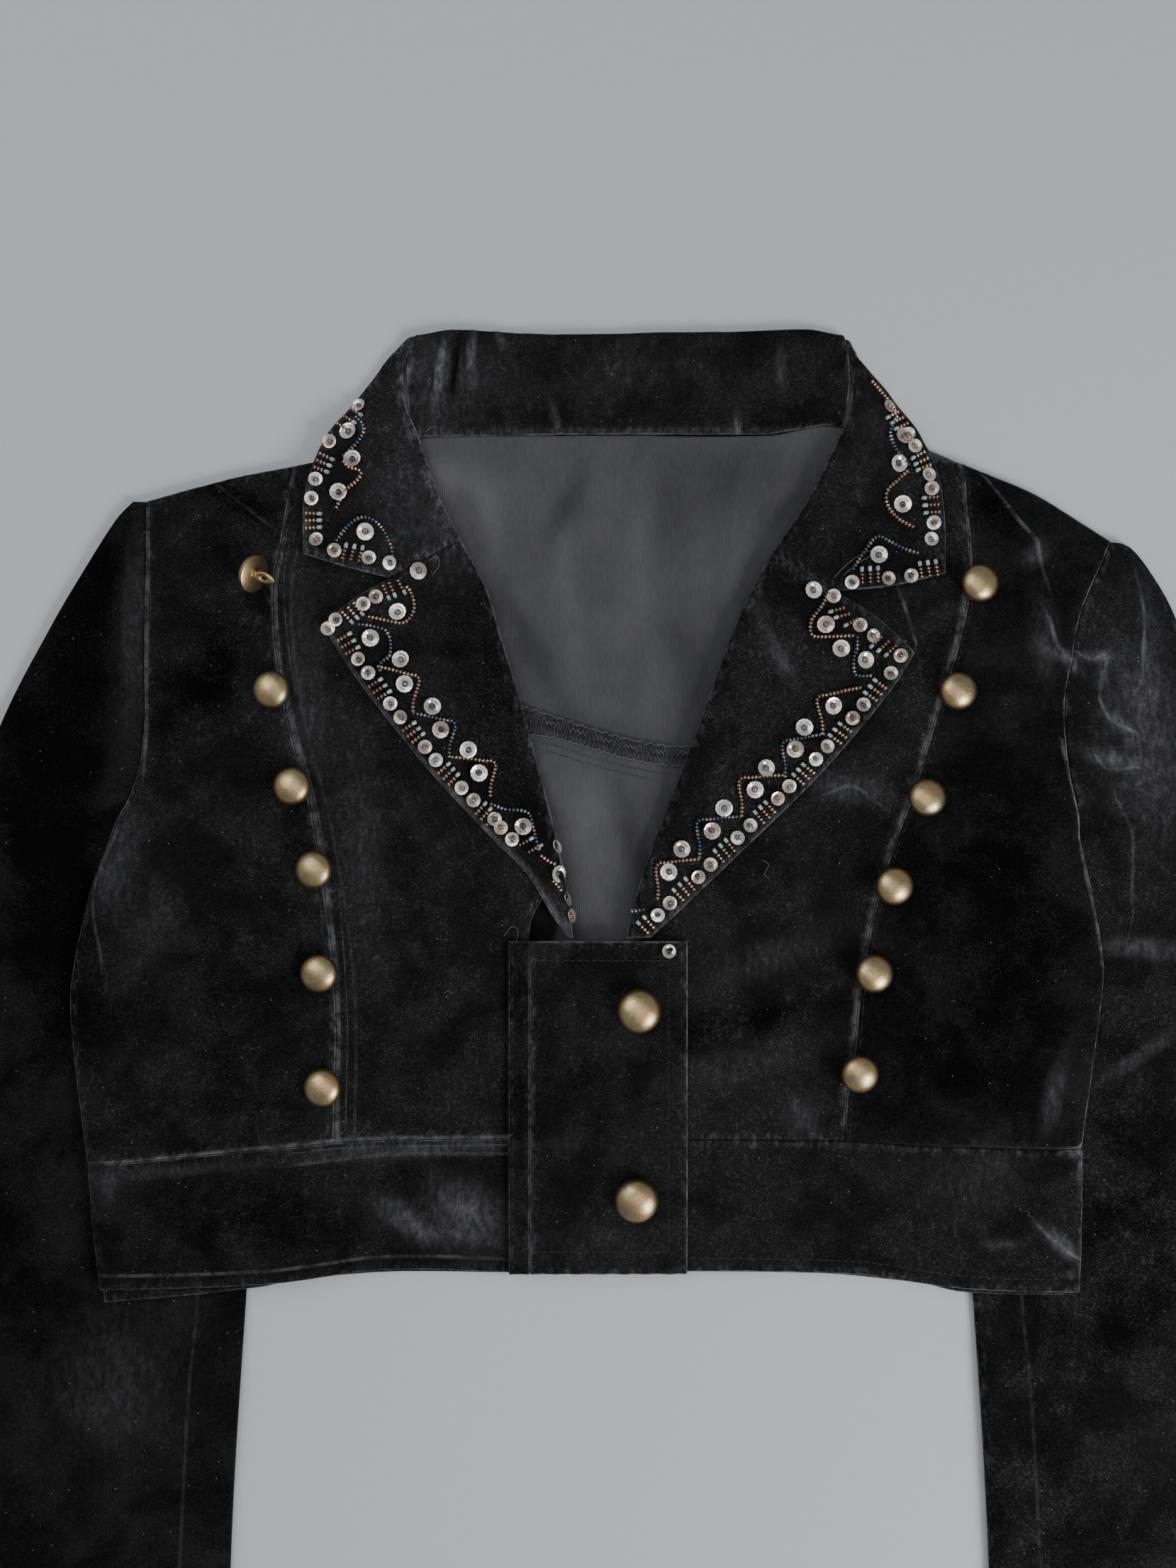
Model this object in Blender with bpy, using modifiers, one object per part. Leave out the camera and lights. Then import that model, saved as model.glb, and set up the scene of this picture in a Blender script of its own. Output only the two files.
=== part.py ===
"""Cropped velvet jacket with notched lapels, laid face up on a floor.

Every cloth piece is a wall lofted over the jacket's own plan and raised by a
height rule, so that what lies on a piece follows it. Plan sizes are in
millimetres from the middle of the hem, +X to the viewer's right, +Y to the
collar. The finished part is in metres with its origin under its middle.
"""

import math

import bmesh
import bpy
from mathutils import Matrix, Vector

MM = 0.001

# Where the middle of the whole garment lies in plan
MIDDLE_X = 6.0
MIDDLE_Y = 81.0

# Cloth walls
BODY_WALL = 1.6
SLEEVE_WALL = 1.5
LAPEL_WALL = 2.0
COLLAR_WALL = 2.0
PLACKET_WALL = 2.2

# Gaps between pieces
SEAM_GAP = 0.4
LAYER_GAP = 0.5

# How far the layers stand up
FRONT_PUFF = 2.9
SLEEVE_LIFT = 5.4
COLLAR_LIFT = 2.4
SIDE_ROUND = 18.0
SHOULDER_ROUND = 16.0
HEM_ROUND = 26.0
ROLL_SETBACK = 3.2
EDGE_SETBACK = 4.4
ROLL_DROP = 1.5
# Distances inside the sleeve's edge over which the back and the front climb onto it
BACK_CLIMB = (-22.0, -6.0)
FRONT_CLIMB = (-58.0, -10.0)
# Where the body climbs onto the collar that is turned under it
COLLAR_CLIMB = (322.0, 341.0)
COLLAR_MIDDLE_X = 15.0
COLLAR_FADE = (96.0, 150.0)
# The side seam's tuck ends where the armhole starts
ARMHOLE_FADE = (184.0, 214.0)
ARMHOLE_SLACK = 40.0
HEM_TUCK = 0.3

# Sleeves
SLEEVE_PUFF_HIDDEN = 1.0
SLEEVE_PUFF = 4.2
SLEEVE_ROUND = 20.0
INNER_ROUND = 9.0
# Distances beyond the body's side and below its hem over which the sleeve fills out
SIDE_FILL = (6.0, 26.0)
HEM_FILL = (-16.0, -40.0)
SLEEVE_HEAD = (192.0, 206.0)
UNDERARM_Y = 190.0
UNDERARM_INDEX = 9
HEAD_FOLD = 13.0
HEAD_BLEND = 9.0

# Collar
COLLAR_TOP_Y = 402.0
COLLAR_FOLD_RADIUS = 2.4
FOLD_LEFT = -73.0
FOLD_RIGHT = 107.0
FOLD_LIP = 4.0
# The stand's top line under the fold: its place across and how far it drops there
STAND_TOP = [(-75.9, 4.2), (-66, 2.0), (-59, 0.3), (15, 0), (93, 0.3), (100, 2.0), (108.5, 4.2)]
NECK_SEAM_Y = 357.0
# Where the falls go down behind the neck and turn under at their outer edge
FALL_DROP = (354.0, 384.0)
FALL_TUCK = (356.0, 372.0)
TUCK_ROUND = 12.0
FALL_AIR = 0.4
STAND_TUCK = 0.8

# Buttons
SIDE_BUTTON_RADIUS = 7.9
PLACKET_BUTTON_RADIUS = 9.2
BUTTON_STEPS = 14
BUTTON_SEAT = 0.45
BUTTON_RIM = 2.8
SHANK_RADIUS = 2.0
DOME_SHARE = 0.62

# Plan edges of the left half, each from bottom to top
LEFT_SIDE = [(-205, -2), (-210, 51), (-216, 100), (-217, 125), (-209, 164), (-199, 189)]
LEFT_ARMHOLE = [(-199, 191), (-190, 209), (-187, 232), (-187, 286), (-186.5, 308), (-187, 329)]
LEFT_PRINCESS = [
    (-107, 60), (-106.5, 85), (-106, 111), (-108, 140), (-112, 170), (-118, 203),
    (-125, 229), (-131, 259), (-133, 290), (-129, 314), (-124, 344),
]
LEFT_ROLL = [
    (-7, 145), (-11, 174), (-28.6, 243), (-38, 274), (-43, 291), (-54, 312),
]
LEFT_COLLAR_ROLL = [(-54.5, 312.5), (-63, 330), (-72, 356), (-77.5, 370), (-78, 384), (-74, 399)]
LEFT_LAPEL_EDGE = [(-9.5, 146), (-15, 153.5), (-26.4, 172), (-41, 187), (-65.3, 213), (-84.8, 236.8),
                   (-101, 258.5), (-112.2, 276.6)]
LEFT_LAPEL_TOP = [(-112.2, 276.6), (-98, 288), (-84, 296)]
LEFT_GORGE = [(-84, 296), (-54, 312)]
LEFT_COLLAR_EDGE = [
    (-120, 306), (-119.5, 330), (-113, 352), (-98, 373), (-91, 382), (-81, 396),
]
LEFT_COLLAR_END = [(-120, 306), (-102, 300.5), (-84.5, 297)]
LEFT_SHOULDER = [(-187, 329), (-150, 339), (-114, 346), (-90, 351)]

# Plan edges of the right half, each from bottom to top
RIGHT_SIDE = [(205, -3), (206, 33), (206, 60), (213, 111), (215, 134), (210, 165), (204, 189)]
RIGHT_ARMHOLE = [(204, 191), (200, 217), (200, 250), (206, 280), (214, 300), (220, 312)]
RIGHT_PRINCESS = [
    (107, 60), (108, 78), (111, 97), (113, 122), (119, 155), (126, 180),
    (136, 207), (146, 240), (155, 270), (160, 300), (156, 345),
]
RIGHT_ROLL = [(15, 145), (23, 174), (49, 243), (61, 276), (68, 291), (76.5, 306)]
RIGHT_COLLAR_ROLL = [(77, 306.5), (92, 330), (103, 352), (108, 362), (110.5, 380), (108, 398.5)]
RIGHT_LAPEL_EDGE = [(25.5, 145.5), (34.5, 153.6), (62.6, 180.5), (96.6, 213.8), (126.4, 249.2), (136.4, 265)]
RIGHT_LAPEL_TOP = [(136.4, 265), (120, 280), (103, 290.5)]
RIGHT_GORGE = [(103, 290.5), (76.5, 306)]
RIGHT_COLLAR_EDGE = [
    (149, 298), (148.7, 321), (145, 342), (139, 356), (125, 378), (114, 393),
]
RIGHT_COLLAR_END = [(149, 298), (126, 292.5), (103.5, 291.2)]
RIGHT_SHOULDER = [(220, 312), (188, 332), (156, 346), (128, 356)]

# Waistband seam and hems from the left side to the right side
WAIST_SEAM = [(-210, 51), (-174, 54), (-144, 57), (-107, 60), (107, 60), (206, 57)]
FRONT_HEM = [(-205, -2), (-142, 0.3), (-82, 5), (-28, 3.5), (41, 4.5), (116, 3), (162, -1.5), (205, -3)]
BACK_HEM = [(-204, -8), (-168, -5), (-142, -2), (-28, -1), (116, -1), (162, -4), (204, -5)]
BACK_WAIST_SEAM = [(-209, 50), (-100, 55), (0, 56), (100, 55), (205, 55)]
BACK_YOKE_SEAM = [(-186.4, 245), (-110, 246), (-27, 236), (32, 221.5), (110, 224), (199, 236)]
BACK_NECK = [(-186.4, 329), (-150, 339), (-90, 351), (-70, 356), (0, 357), (75, 357), (100, 361),
             (128, 356), (156, 346), (219.4, 312)]
BACK_COLUMNS = (-205, -188, -170, -156, -146, -137, -128, -118, -100, -60, -20, 20, 60, 100,
                130, 141, 151, 161, 174, 190, 205)
PRINCESS_SPLIT_Y = 196.0
UNDERLAP_X = -20.0

# Sleeve edges from cuff to shoulder
LEFT_SLEEVE_INNER = [
    (-153, -240), (-152, -120), (-145, 0), (-140, 70), (-139, 120), (-147, 155),
    (-165, 178), (-194, 187), (-199.5, 191.5), (-190.4, 209), (-187.4, 232),
    (-187.4, 286), (-187, 308), (-187.5, 329),
]
LEFT_SLEEVE_OUTER = [
    (-258, -240), (-259, -120), (-261, 0), (-264, 100), (-262, 170), (-256, 212),
    (-248, 237.5), (-227, 278), (-214, 300), (-200, 322), (-193, 329.3),
]
RIGHT_SLEEVE_INNER = [
    (171, -240), (169, -120), (162, -2), (156, 70), (154, 120), (160, 155),
    (175, 178), (197, 187), (204.6, 191.5), (200.5, 217), (200.5, 250),
    (206.4, 280), (214.4, 300), (220.4, 312),
]
RIGHT_SLEEVE_OUTER = [
    (275, -240), (275, -120), (276, 0), (276, 100), (274, 170), (269, 208),
    (261, 245), (246, 284), (236, 301), (229, 309.5), (225, 311.6),
]
STRIP_WIDTH = 20.0
STRIP_TOP_Y = 155.0

# Placket
PLACKET_LEFT = -25.0
PLACKET_RIGHT = 41.0
PLACKET_TOP = 144.0
PLACKET_BOTTOM = 4.0
STRIP_LEFT = -34.0

# Main folds of the fronts and waistband: both ends, half width, height
FRONT_FOLDS = [
    {"start": (-168, 330), "end": (-136, 296), "half": 9, "height": 2.2},
    {"start": (-198, 176), "end": (-150, 130), "half": 13, "height": 1.2},
    {"start": (-186, 262), "end": (-160, 226), "half": 12, "height": 1.3},
    {"start": (-205, 88), "end": (-150, 72), "half": 10, "height": 1.0},
    {"start": (-96, 110), "end": (-60, 84), "half": 12, "height": 0.8},
    {"start": (-186, 26), "end": (-120, 20), "half": 12, "height": 1.0},
    {"start": (160, 341), "end": (184, 312), "half": 8, "height": 3.0},
    {"start": (184, 312), "end": (190, 276), "half": 8, "height": 3.0},
    {"start": (190, 276), "end": (202, 258), "half": 8, "height": 2.4},
    {"start": (202, 196), "end": (162, 150), "half": 13, "height": 1.4},
    {"start": (205, 120), "end": (192, 70), "half": 10, "height": 1.3},
    {"start": (96, 190), "end": (70, 150), "half": 12, "height": 0.7},
    {"start": (178, 36), "end": (204, 12), "half": 8, "height": 2.6},
    {"start": (70, 36), "end": (140, 28), "half": 12, "height": 0.8},
]

# Main folds of the sleeves, the same way
SLEEVE_FOLDS = [
    {"start": (-204, 320), "end": (-206, 262), "half": 8, "height": 1.6},
    {"start": (-244, 236), "end": (-216, 206), "half": 11, "height": 1.8},
    {"start": (-256, 170), "end": (-222, 140), "half": 12, "height": 1.6},
    {"start": (-250, 60), "end": (-222, 84), "half": 12, "height": 1.5},
    {"start": (-240, 10), "end": (-190, -40), "half": 13, "height": 2.0},
    {"start": (-246, -90), "end": (-186, -120), "half": 13, "height": 1.7},
    {"start": (-232, -150), "end": (-180, -190), "half": 13, "height": 1.5},
    {"start": (228, 300), "end": (231, 256), "half": 8, "height": 3.4},
    {"start": (210, 264), "end": (226, 216), "half": 8, "height": 3.2},
    {"start": (262, 214), "end": (222, 186), "half": 11, "height": 2.2},
    {"start": (266, 150), "end": (226, 166), "half": 11, "height": 1.8},
    {"start": (262, 60), "end": (226, 94), "half": 12, "height": 1.6},
    {"start": (256, 6), "end": (204, -38), "half": 13, "height": 2.0},
    {"start": (262, -84), "end": (200, -116), "half": 13, "height": 1.7},
    {"start": (250, -150), "end": (196, -196), "half": 13, "height": 1.5},
]

# Buttons: place, lean in degrees, the way they lean, and how far they are pressed down
SIDE_BUTTONS = [
    {"name": "button_left_1", "at": (-136, 295.3), "lean": 114, "toward": 158, "press": 0.8},
    {"name": "button_left_2", "at": (-132.5, 249), "lean": 8, "toward": 200, "press": 0.0},
    {"name": "button_left_3", "at": (-124, 208.6), "lean": 6, "toward": 150, "press": 0.0},
    {"name": "button_left_4", "at": (-114.3, 174), "lean": 9, "toward": 180, "press": 0.0},
    {"name": "button_left_5", "at": (-112.1, 131.2), "lean": 5, "toward": 220, "press": 0.0},
    {"name": "button_left_6", "at": (-110.5, 83.6), "lean": 7, "toward": 160, "press": 0.0},
    {"name": "button_right_1", "at": (162.5, 293.3), "lean": 7, "toward": 20, "press": 0.0},
    {"name": "button_right_2", "at": (153.5, 248.5), "lean": 6, "toward": 340, "press": 0.0},
    {"name": "button_right_3", "at": (140.3, 203.6), "lean": 9, "toward": 60, "press": 0.0},
    {"name": "button_right_4", "at": (126.3, 167.2), "lean": 5, "toward": 0, "press": 0.0},
    {"name": "button_right_5", "at": (117.9, 130.6), "lean": 8, "toward": 30, "press": 0.0},
    {"name": "button_right_6", "at": (112.3, 89), "lean": 6, "toward": 300, "press": 0.0},
]
PLACKET_BUTTONS = [
    {"name": "button_placket_1", "at": (20.5, 115), "lean": 4, "toward": 90, "press": 0.0},
    {"name": "button_placket_2", "at": (19.4, 36.6), "lean": 4, "toward": 250, "press": 0.0},
]


# Small helpers for curves and heights

def clamp(value, low=0.0, high=1.0):
    return min(max(value, low), high)


def ease(start, end, value):
    """0 up to start, 1 from end on, smooth between them, also where end is the lower."""
    share = clamp((value - start) / (end - start))
    return share * share * (3 - 2 * share)


def rounded(distance, reach):
    """How far up a soft edge has risen, 0 at the edge and 1 from reach inwards."""
    return math.sin(0.5 * math.pi * clamp(distance / reach))


def moved(edge, dx=0.0, dy=0.0):
    return [(x + dx, y + dy) for x, y in edge]


def curve_point(edge, index, share):
    """A point of the smooth curve through the edge's points."""
    last = len(edge) - 1
    points = [Vector(edge[clamp(index + k, 0, last)]) for k in (-1, 0, 1, 2)]
    before, start, end, after = points
    reach = (end - start).length
    leave = (end - before).normalized() * reach
    arrive = (after - start).normalized() * reach
    s2 = share * share
    s3 = s2 * share
    return (
        (2 * s3 - 3 * s2 + 1) * start
        + (s3 - 2 * s2 + share) * leave
        + (3 * s2 - 2 * s3) * end
        + (s3 - s2) * arrive
    )


def smooth(edge, pieces=10):
    """The smooth curve through an edge's points, as a dense line."""
    points = [
        curve_point(edge, index, k / pieces)
        for index in range(len(edge) - 1)
        for k in range(pieces)
    ]
    return points + [Vector(edge[-1])]


def along(edge, shares):
    """Points at the given shares of an edge's length."""
    points = [Vector(point) for point in edge]
    lengths = [0.0]
    for a, b in zip(points, points[1:]):
        lengths.append(lengths[-1] + (b - a).length)
    found = []
    index = 0
    for share in shares:
        target = share * lengths[-1]
        while index < len(points) - 2 and lengths[index + 1] < target:
            index += 1
        step = lengths[index + 1] - lengths[index]
        part = clamp((target - lengths[index]) / step)
        found.append(points[index].lerp(points[index + 1], part))
    return found


def x_at(edge, y):
    """An edge's x at a height y, straight between its points."""
    if y <= edge[0][1]:
        return edge[0][0]
    for (x0, y0), (x1, y1) in zip(edge, edge[1:]):
        if y <= y1:
            return x0 + (x1 - x0) * (y - y0) / (y1 - y0)
    return edge[-1][0]


def y_at(edge, x):
    """An edge's y at a place x, for an edge that runs left to right."""
    if x <= edge[0][0]:
        return edge[0][1]
    for (x0, y0), (x1, y1) in zip(edge, edge[1:]):
        if x <= x1:
            return y0 + (y1 - y0) * (x - x0) / (x1 - x0)
    return edge[-1][1]


def distance_to(edge, x, y):
    """The distance from a point to an edge's straight pieces."""
    point = Vector((x, y))
    nearest = math.inf
    for a, b in zip(edge, edge[1:]):
        start = Vector(a)
        step = Vector(b) - start
        share = clamp((point - start).dot(step) / step.length_squared)
        nearest = min(nearest, (point - start - share * step).length)
    return nearest


def even(count):
    return [k / count for k in range(count + 1)]


def folds_at(folds, x, y):
    """The height that the listed soft folds add at a point."""
    total = 0.0
    for fold in folds:
        start = Vector(fold["start"])
        step = Vector(fold["end"]) - start
        offset = Vector((x, y)) - start
        share = offset.dot(step) / step.length_squared
        across = (offset - clamp(share) * step).length
        total += fold["height"] * math.exp(-((across / fold["half"]) ** 2))
    return total


# Heights of the layers, from the floor up

def sleeve_reach(x, y):
    """How far inside the sleeve that lies under the body a plan point is, less than 0 outside."""
    inner = LEFT_SLEEVE_INNER if x < 0 else RIGHT_SLEEVE_INNER
    away = distance_to(inner[:UNDERARM_INDEX], x, y)
    inside = y < UNDERARM_Y and abs(x) > abs(x_at(inner, y))
    return away if inside else -away


def over_collar(x, y):
    sideways = 1 - ease(*COLLAR_FADE, abs(x - COLLAR_MIDDLE_X))
    return COLLAR_LIFT * ease(*COLLAR_CLIMB, y) * sideways


def back_height(x, y):
    """The back's underside: on the floor, over the sleeves and over the turned collar."""
    return SLEEVE_LIFT * ease(*BACK_CLIMB, sleeve_reach(x, y)) + over_collar(x, y)


def front_base(x, y):
    """What the front lies on: it bridges the sleeve's edge more softly than the back."""
    over_sleeve = SLEEVE_LIFT * ease(*FRONT_CLIMB, sleeve_reach(x, y))
    return over_sleeve + over_collar(x, y) + BODY_WALL + LAYER_GAP


def front_puff(x, y):
    """Air under the front, none at the side seam and the shoulder."""
    side = LEFT_SIDE if x < 0 else RIGHT_SIDE
    shoulder = LEFT_SHOULDER if x < 0 else RIGHT_SHOULDER[::-1]
    to_side = abs(x_at(side, y)) - abs(x) + ARMHOLE_SLACK * ease(*ARMHOLE_FADE, y)
    to_shoulder = y_at(shoulder, x) - y
    to_hem = y - y_at(FRONT_HEM, x)
    at_hem = HEM_TUCK + (1 - HEM_TUCK) * rounded(to_hem, HEM_ROUND)
    edges = rounded(to_side, SIDE_ROUND) * rounded(to_shoulder, SHOULDER_ROUND) * at_hem
    return edges * (FRONT_PUFF + folds_at(FRONT_FOLDS, x, y))


def front_height(x, y):
    """The front's underside."""
    return front_base(x, y) + front_puff(x, y)


def over_front(x, y):
    """The underside of what lies on the front."""
    return front_height(x, y) + BODY_WALL + LAYER_GAP


def lapel_height(roll):
    """The lapel's underside: it turns over the front's edge along the roll line."""
    def height(x, y):
        turn = 1 - rounded(distance_to(roll, x, y), ROLL_SETBACK)
        return over_front(x, y) - ROLL_DROP * turn
    return height


def collar_height(roll, edge):
    """The fall's underside: on the front, then down to the stand behind the neck."""
    def height(x, y):
        behind = ease(*FALL_DROP, y)
        on_front = over_front(x, y) + FALL_AIR
        level = on_front + (COLLAR_WALL + STAND_TUCK - on_front) * behind
        turn = 1 - rounded(distance_to(roll, x, y), ROLL_SETBACK)
        tuck = ease(*FALL_TUCK, y) * (1 - rounded(distance_to(edge, x, y), TUCK_ROUND))
        return level - ROLL_DROP * turn * (1 - behind) - (level - FALL_AIR) * tuck
    return height


def sleeve_height(x, y):
    """The upper sleeve layer's underside."""
    inner = LEFT_SLEEVE_INNER if x < 0 else RIGHT_SLEEVE_INNER
    outer = LEFT_SLEEVE_OUTER if x < 0 else RIGHT_SLEEVE_OUTER
    side = LEFT_SIDE if x < 0 else RIGHT_SIDE
    armhole = LEFT_ARMHOLE if x < 0 else RIGHT_ARMHOLE
    floor = SLEEVE_WALL + SEAM_GAP
    to_outer = distance_to(outer, x, y)
    to_inner = distance_to(inner, x, y)
    beyond_side = abs(x) - abs(x_at(side, y))
    open_air = max(ease(*SIDE_FILL, beyond_side), ease(*HEM_FILL, y))
    full = SLEEVE_PUFF + folds_at(SLEEVE_FOLDS, x, y)
    puff = SLEEVE_PUFF_HIDDEN + (full - SLEEVE_PUFF_HIDDEN) * open_air
    above = ease(*SLEEVE_HEAD, y)
    at_inner = above + (1 - above) * rounded(to_inner, INNER_ROUND)
    lying = floor + puff * rounded(to_outer, SLEEVE_ROUND) * at_inner
    to_armhole = distance_to(armhole, x, y)
    head = ease(HEAD_FOLD + HEAD_BLEND, HEAD_FOLD - HEAD_BLEND / 3, to_armhole) * above
    head *= rounded(to_outer, SHOULDER_ROUND)
    return lying + (front_height(x, y) - lying) * head


def on_floor(x, y):
    return 0.0


# Mesh builders

def plan_grid(bottom, top, left, right, across, upward):
    """A grid of plan points that fills four edges, which meet at their ends."""
    low = along(bottom, across)
    high = along(top, across)
    first = along(left, upward)
    last = along(right, upward)
    first[0], first[-1] = low[0], high[0]
    last[0], last[-1] = low[-1], high[-1]
    rows = []
    for j, v in enumerate(upward):
        row = []
        for i, u in enumerate(across):
            ruled = (1 - v) * low[i] + v * high[i] + (1 - u) * first[j] + u * last[j]
            corners = (1 - v) * ((1 - u) * low[0] + u * low[-1])
            corners = corners + v * ((1 - u) * high[0] + u * high[-1])
            row.append(ruled - corners)
        rows.append(row)
    return rows


def placed(x, y, z):
    """A plan point in metres in the part's own frame."""
    return ((x - MIDDLE_X) * MM, (y - MIDDLE_Y) * MM, z * MM)


def material(name, colour, roughness, metallic=0.0):
    found = bpy.data.materials.new(name)
    found.use_nodes = True
    shader = found.node_tree.nodes["Principled BSDF"]
    shader.inputs["Base Color"].default_value = (*colour, 1.0)
    shader.inputs["Roughness"].default_value = roughness
    shader.inputs["Metallic"].default_value = metallic
    return found


def surface_object(name, rows, wall, look, offset=1.0):
    """An open surface through rows of points, thickened by a Solidify modifier."""
    mesh = bpy.data.meshes.new(name)
    bm = bmesh.new()
    points = [[bm.verts.new(point) for point in row] for row in rows]
    for low, high in zip(points, points[1:]):
        for i in range(len(low) - 1):
            bm.faces.new((low[i], low[i + 1], high[i + 1], high[i]))
    bm.to_mesh(mesh)
    bm.free()
    mesh.shade_smooth()
    mesh.materials.append(look)
    obj = bpy.data.objects.new(name, mesh)
    PARTS.objects.link(obj)
    wall_modifier = obj.modifiers.new("Wall", "SOLIDIFY")
    wall_modifier.thickness = wall * MM
    wall_modifier.offset = offset
    wall_modifier.use_rim = True
    return obj


def panel(name, patches, height, wall, look):
    """A cut piece lofted over one patch or a stack of them, each plan_grid's arguments."""
    rows = []
    for patch in patches:
        rows += plan_grid(*patch)[1 if rows else 0:]
    raised = [[placed(p.x, p.y, height(p.x, p.y)) for p in row] for row in rows]
    return surface_object(name, raised, wall, look)


# Pieces

def build_back(velvet):
    half = SEAM_GAP / 2
    columns = [(x - BACK_COLUMNS[0]) / (BACK_COLUMNS[-1] - BACK_COLUMNS[0]) for x in BACK_COLUMNS]
    waist = smooth(BACK_WAIST_SEAM)
    yoke = smooth(BACK_YOKE_SEAM)
    panel(
        "back_waistband",
        [(
            smooth(BACK_HEM), moved(waist, 0, -half),
            smooth([BACK_HEM[0], (-206, 20), BACK_WAIST_SEAM[0]]),
            smooth([BACK_HEM[-1], (205, 25), BACK_WAIST_SEAM[-1]]),
            columns, even(2),
        )],
        back_height, BODY_WALL, velvet,
    )
    underarm_line = [(-198.3, UNDERARM_Y), (203.4, UNDERARM_Y)]
    panel(
        "back_lower",
        [
            (
                moved(waist, 0, half), underarm_line,
                smooth([BACK_WAIST_SEAM[0], *moved(LEFT_SIDE[2:-1], 0.7), underarm_line[0]]),
                smooth([BACK_WAIST_SEAM[-1], *moved(RIGHT_SIDE[3:-1], -0.7), underarm_line[1]]),
                columns, even(6),
            ),
            (
                underarm_line, moved(yoke, 0, -half),
                smooth([underarm_line[0], (-189.4, 209), BACK_YOKE_SEAM[0]]),
                smooth([underarm_line[1], (199.2, 217), BACK_YOKE_SEAM[-1]]),
                columns, even(3),
            ),
        ],
        back_height, BODY_WALL, velvet,
    )
    panel(
        "back_upper",
        [(
            moved(yoke, 0, half), smooth(BACK_NECK),
            smooth([BACK_YOKE_SEAM[0], (-186.4, 286), (-186, 308), BACK_NECK[0]]),
            smooth([BACK_YOKE_SEAM[-1], (199.4, 250), (205.4, 280), (213.4, 300), BACK_NECK[-1]]),
            columns, even(7),
        )],
        back_height, BODY_WALL, velvet,
    )


def side_panel(name, outline, velvet):
    """A front's side panel: waist to underarm, then underarm to shoulder."""
    princess, side, armhole, waist, shoulder, sign = outline
    half = SEAM_GAP / 2
    seam = moved(smooth(princess), sign * half)
    waist = moved(smooth(waist), 0, half)
    waist[-1 if sign < 0 else 0] = (seam[0][0], princess[0][1] + half)
    split = next(k for k, point in enumerate(seam) if point[1] > PRINCESS_SPLIT_Y)
    underarm = armhole[0]
    middle = [underarm, tuple(seam[split])]
    low_side = smooth([side[0], *side[1:-1], underarm])
    high_side = smooth(armhole)

    def ordered(inner, outer):
        return (outer, inner) if sign < 0 else (inner, outer)

    def rightward(line):
        return line if line[0][0] < line[-1][0] else list(reversed(line))

    panel(
        name,
        [
            (rightward(waist), rightward(middle), *ordered(seam[:split + 1], low_side), even(7), even(9)),
            (rightward(middle), rightward(shoulder), *ordered(seam[split:], high_side), even(7), even(9)),
        ],
        front_height, BODY_WALL, velvet,
    )


def centre_panel(name, princess, inner, waist, shoulder, sign, velvet):
    """A front's centre panel: its inner edge runs up the centre, then inside the roll line."""
    half = SEAM_GAP / 2
    seam = moved(smooth(princess), -sign * half)
    split = next(k for k, point in enumerate(seam) if point[1] > PRINCESS_SPLIT_Y)
    split_inner = next(k for k, point in enumerate(inner) if point[1] > PRINCESS_SPLIT_Y)
    waist = moved(waist, 0, half)
    waist[0 if sign < 0 else -1] = (seam[0][0], princess[0][1] + half)
    middle = [inner[split_inner], seam[split]]
    low = [inner[:split_inner + 1], seam[:split + 1]]
    high = [inner[split_inner:], seam[split:]]
    if sign < 0:
        middle.reverse()
        low.reverse()
        high.reverse()
    panel(
        name,
        [
            (waist, middle, *low, even(6), even(8)),
            (middle, shoulder, *high, even(6), even(9)),
        ],
        front_height, BODY_WALL, velvet,
    )


def build_fronts(velvet):
    half = SEAM_GAP / 2
    side_panel(
        "front_left_side",
        (LEFT_PRINCESS, LEFT_SIDE[1:], LEFT_ARMHOLE, WAIST_SEAM[:4],
         smooth([(-187, 329), (-150, 339), (-124 - half, 344)]), -1),
        velvet,
    )
    side_panel(
        "front_right_side",
        (RIGHT_PRINCESS, RIGHT_SIDE[2:], RIGHT_ARMHOLE, WAIST_SEAM[-2:],
         smooth([(156 + half, 345), (188, 332), (220, 312)]), 1),
        velvet,
    )
    # Under the placket the left front stops at its strip and the right front runs on to it
    left_inner = smooth([(PLACKET_LEFT, 61), (PLACKET_LEFT, 105), (PLACKET_LEFT, 150),
                         *moved(LEFT_ROLL[1:], -EDGE_SETBACK)]) + [(-76, 332), (-93, 350)]
    centre_panel(
        "front_left_centre", LEFT_PRINCESS, left_inner,
        [(-107, 60), (PLACKET_LEFT, 61)], [(-124, 344), (-93, 350)], -1, velvet,
    )
    right_inner = smooth([(UNDERLAP_X, 61), (UNDERLAP_X, 100), (-8, 124), (12, 138), (22, 152),
                          *moved(RIGHT_ROLL[1:], EDGE_SETBACK)]) + [(103, 334), (119, 351)]
    centre_panel(
        "front_right_centre", RIGHT_PRINCESS, right_inner,
        [(UNDERLAP_X, 61), (107, 60)], [(119, 351), (156, 345)], 1, velvet,
    )
    build_waistbands(velvet)


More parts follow.
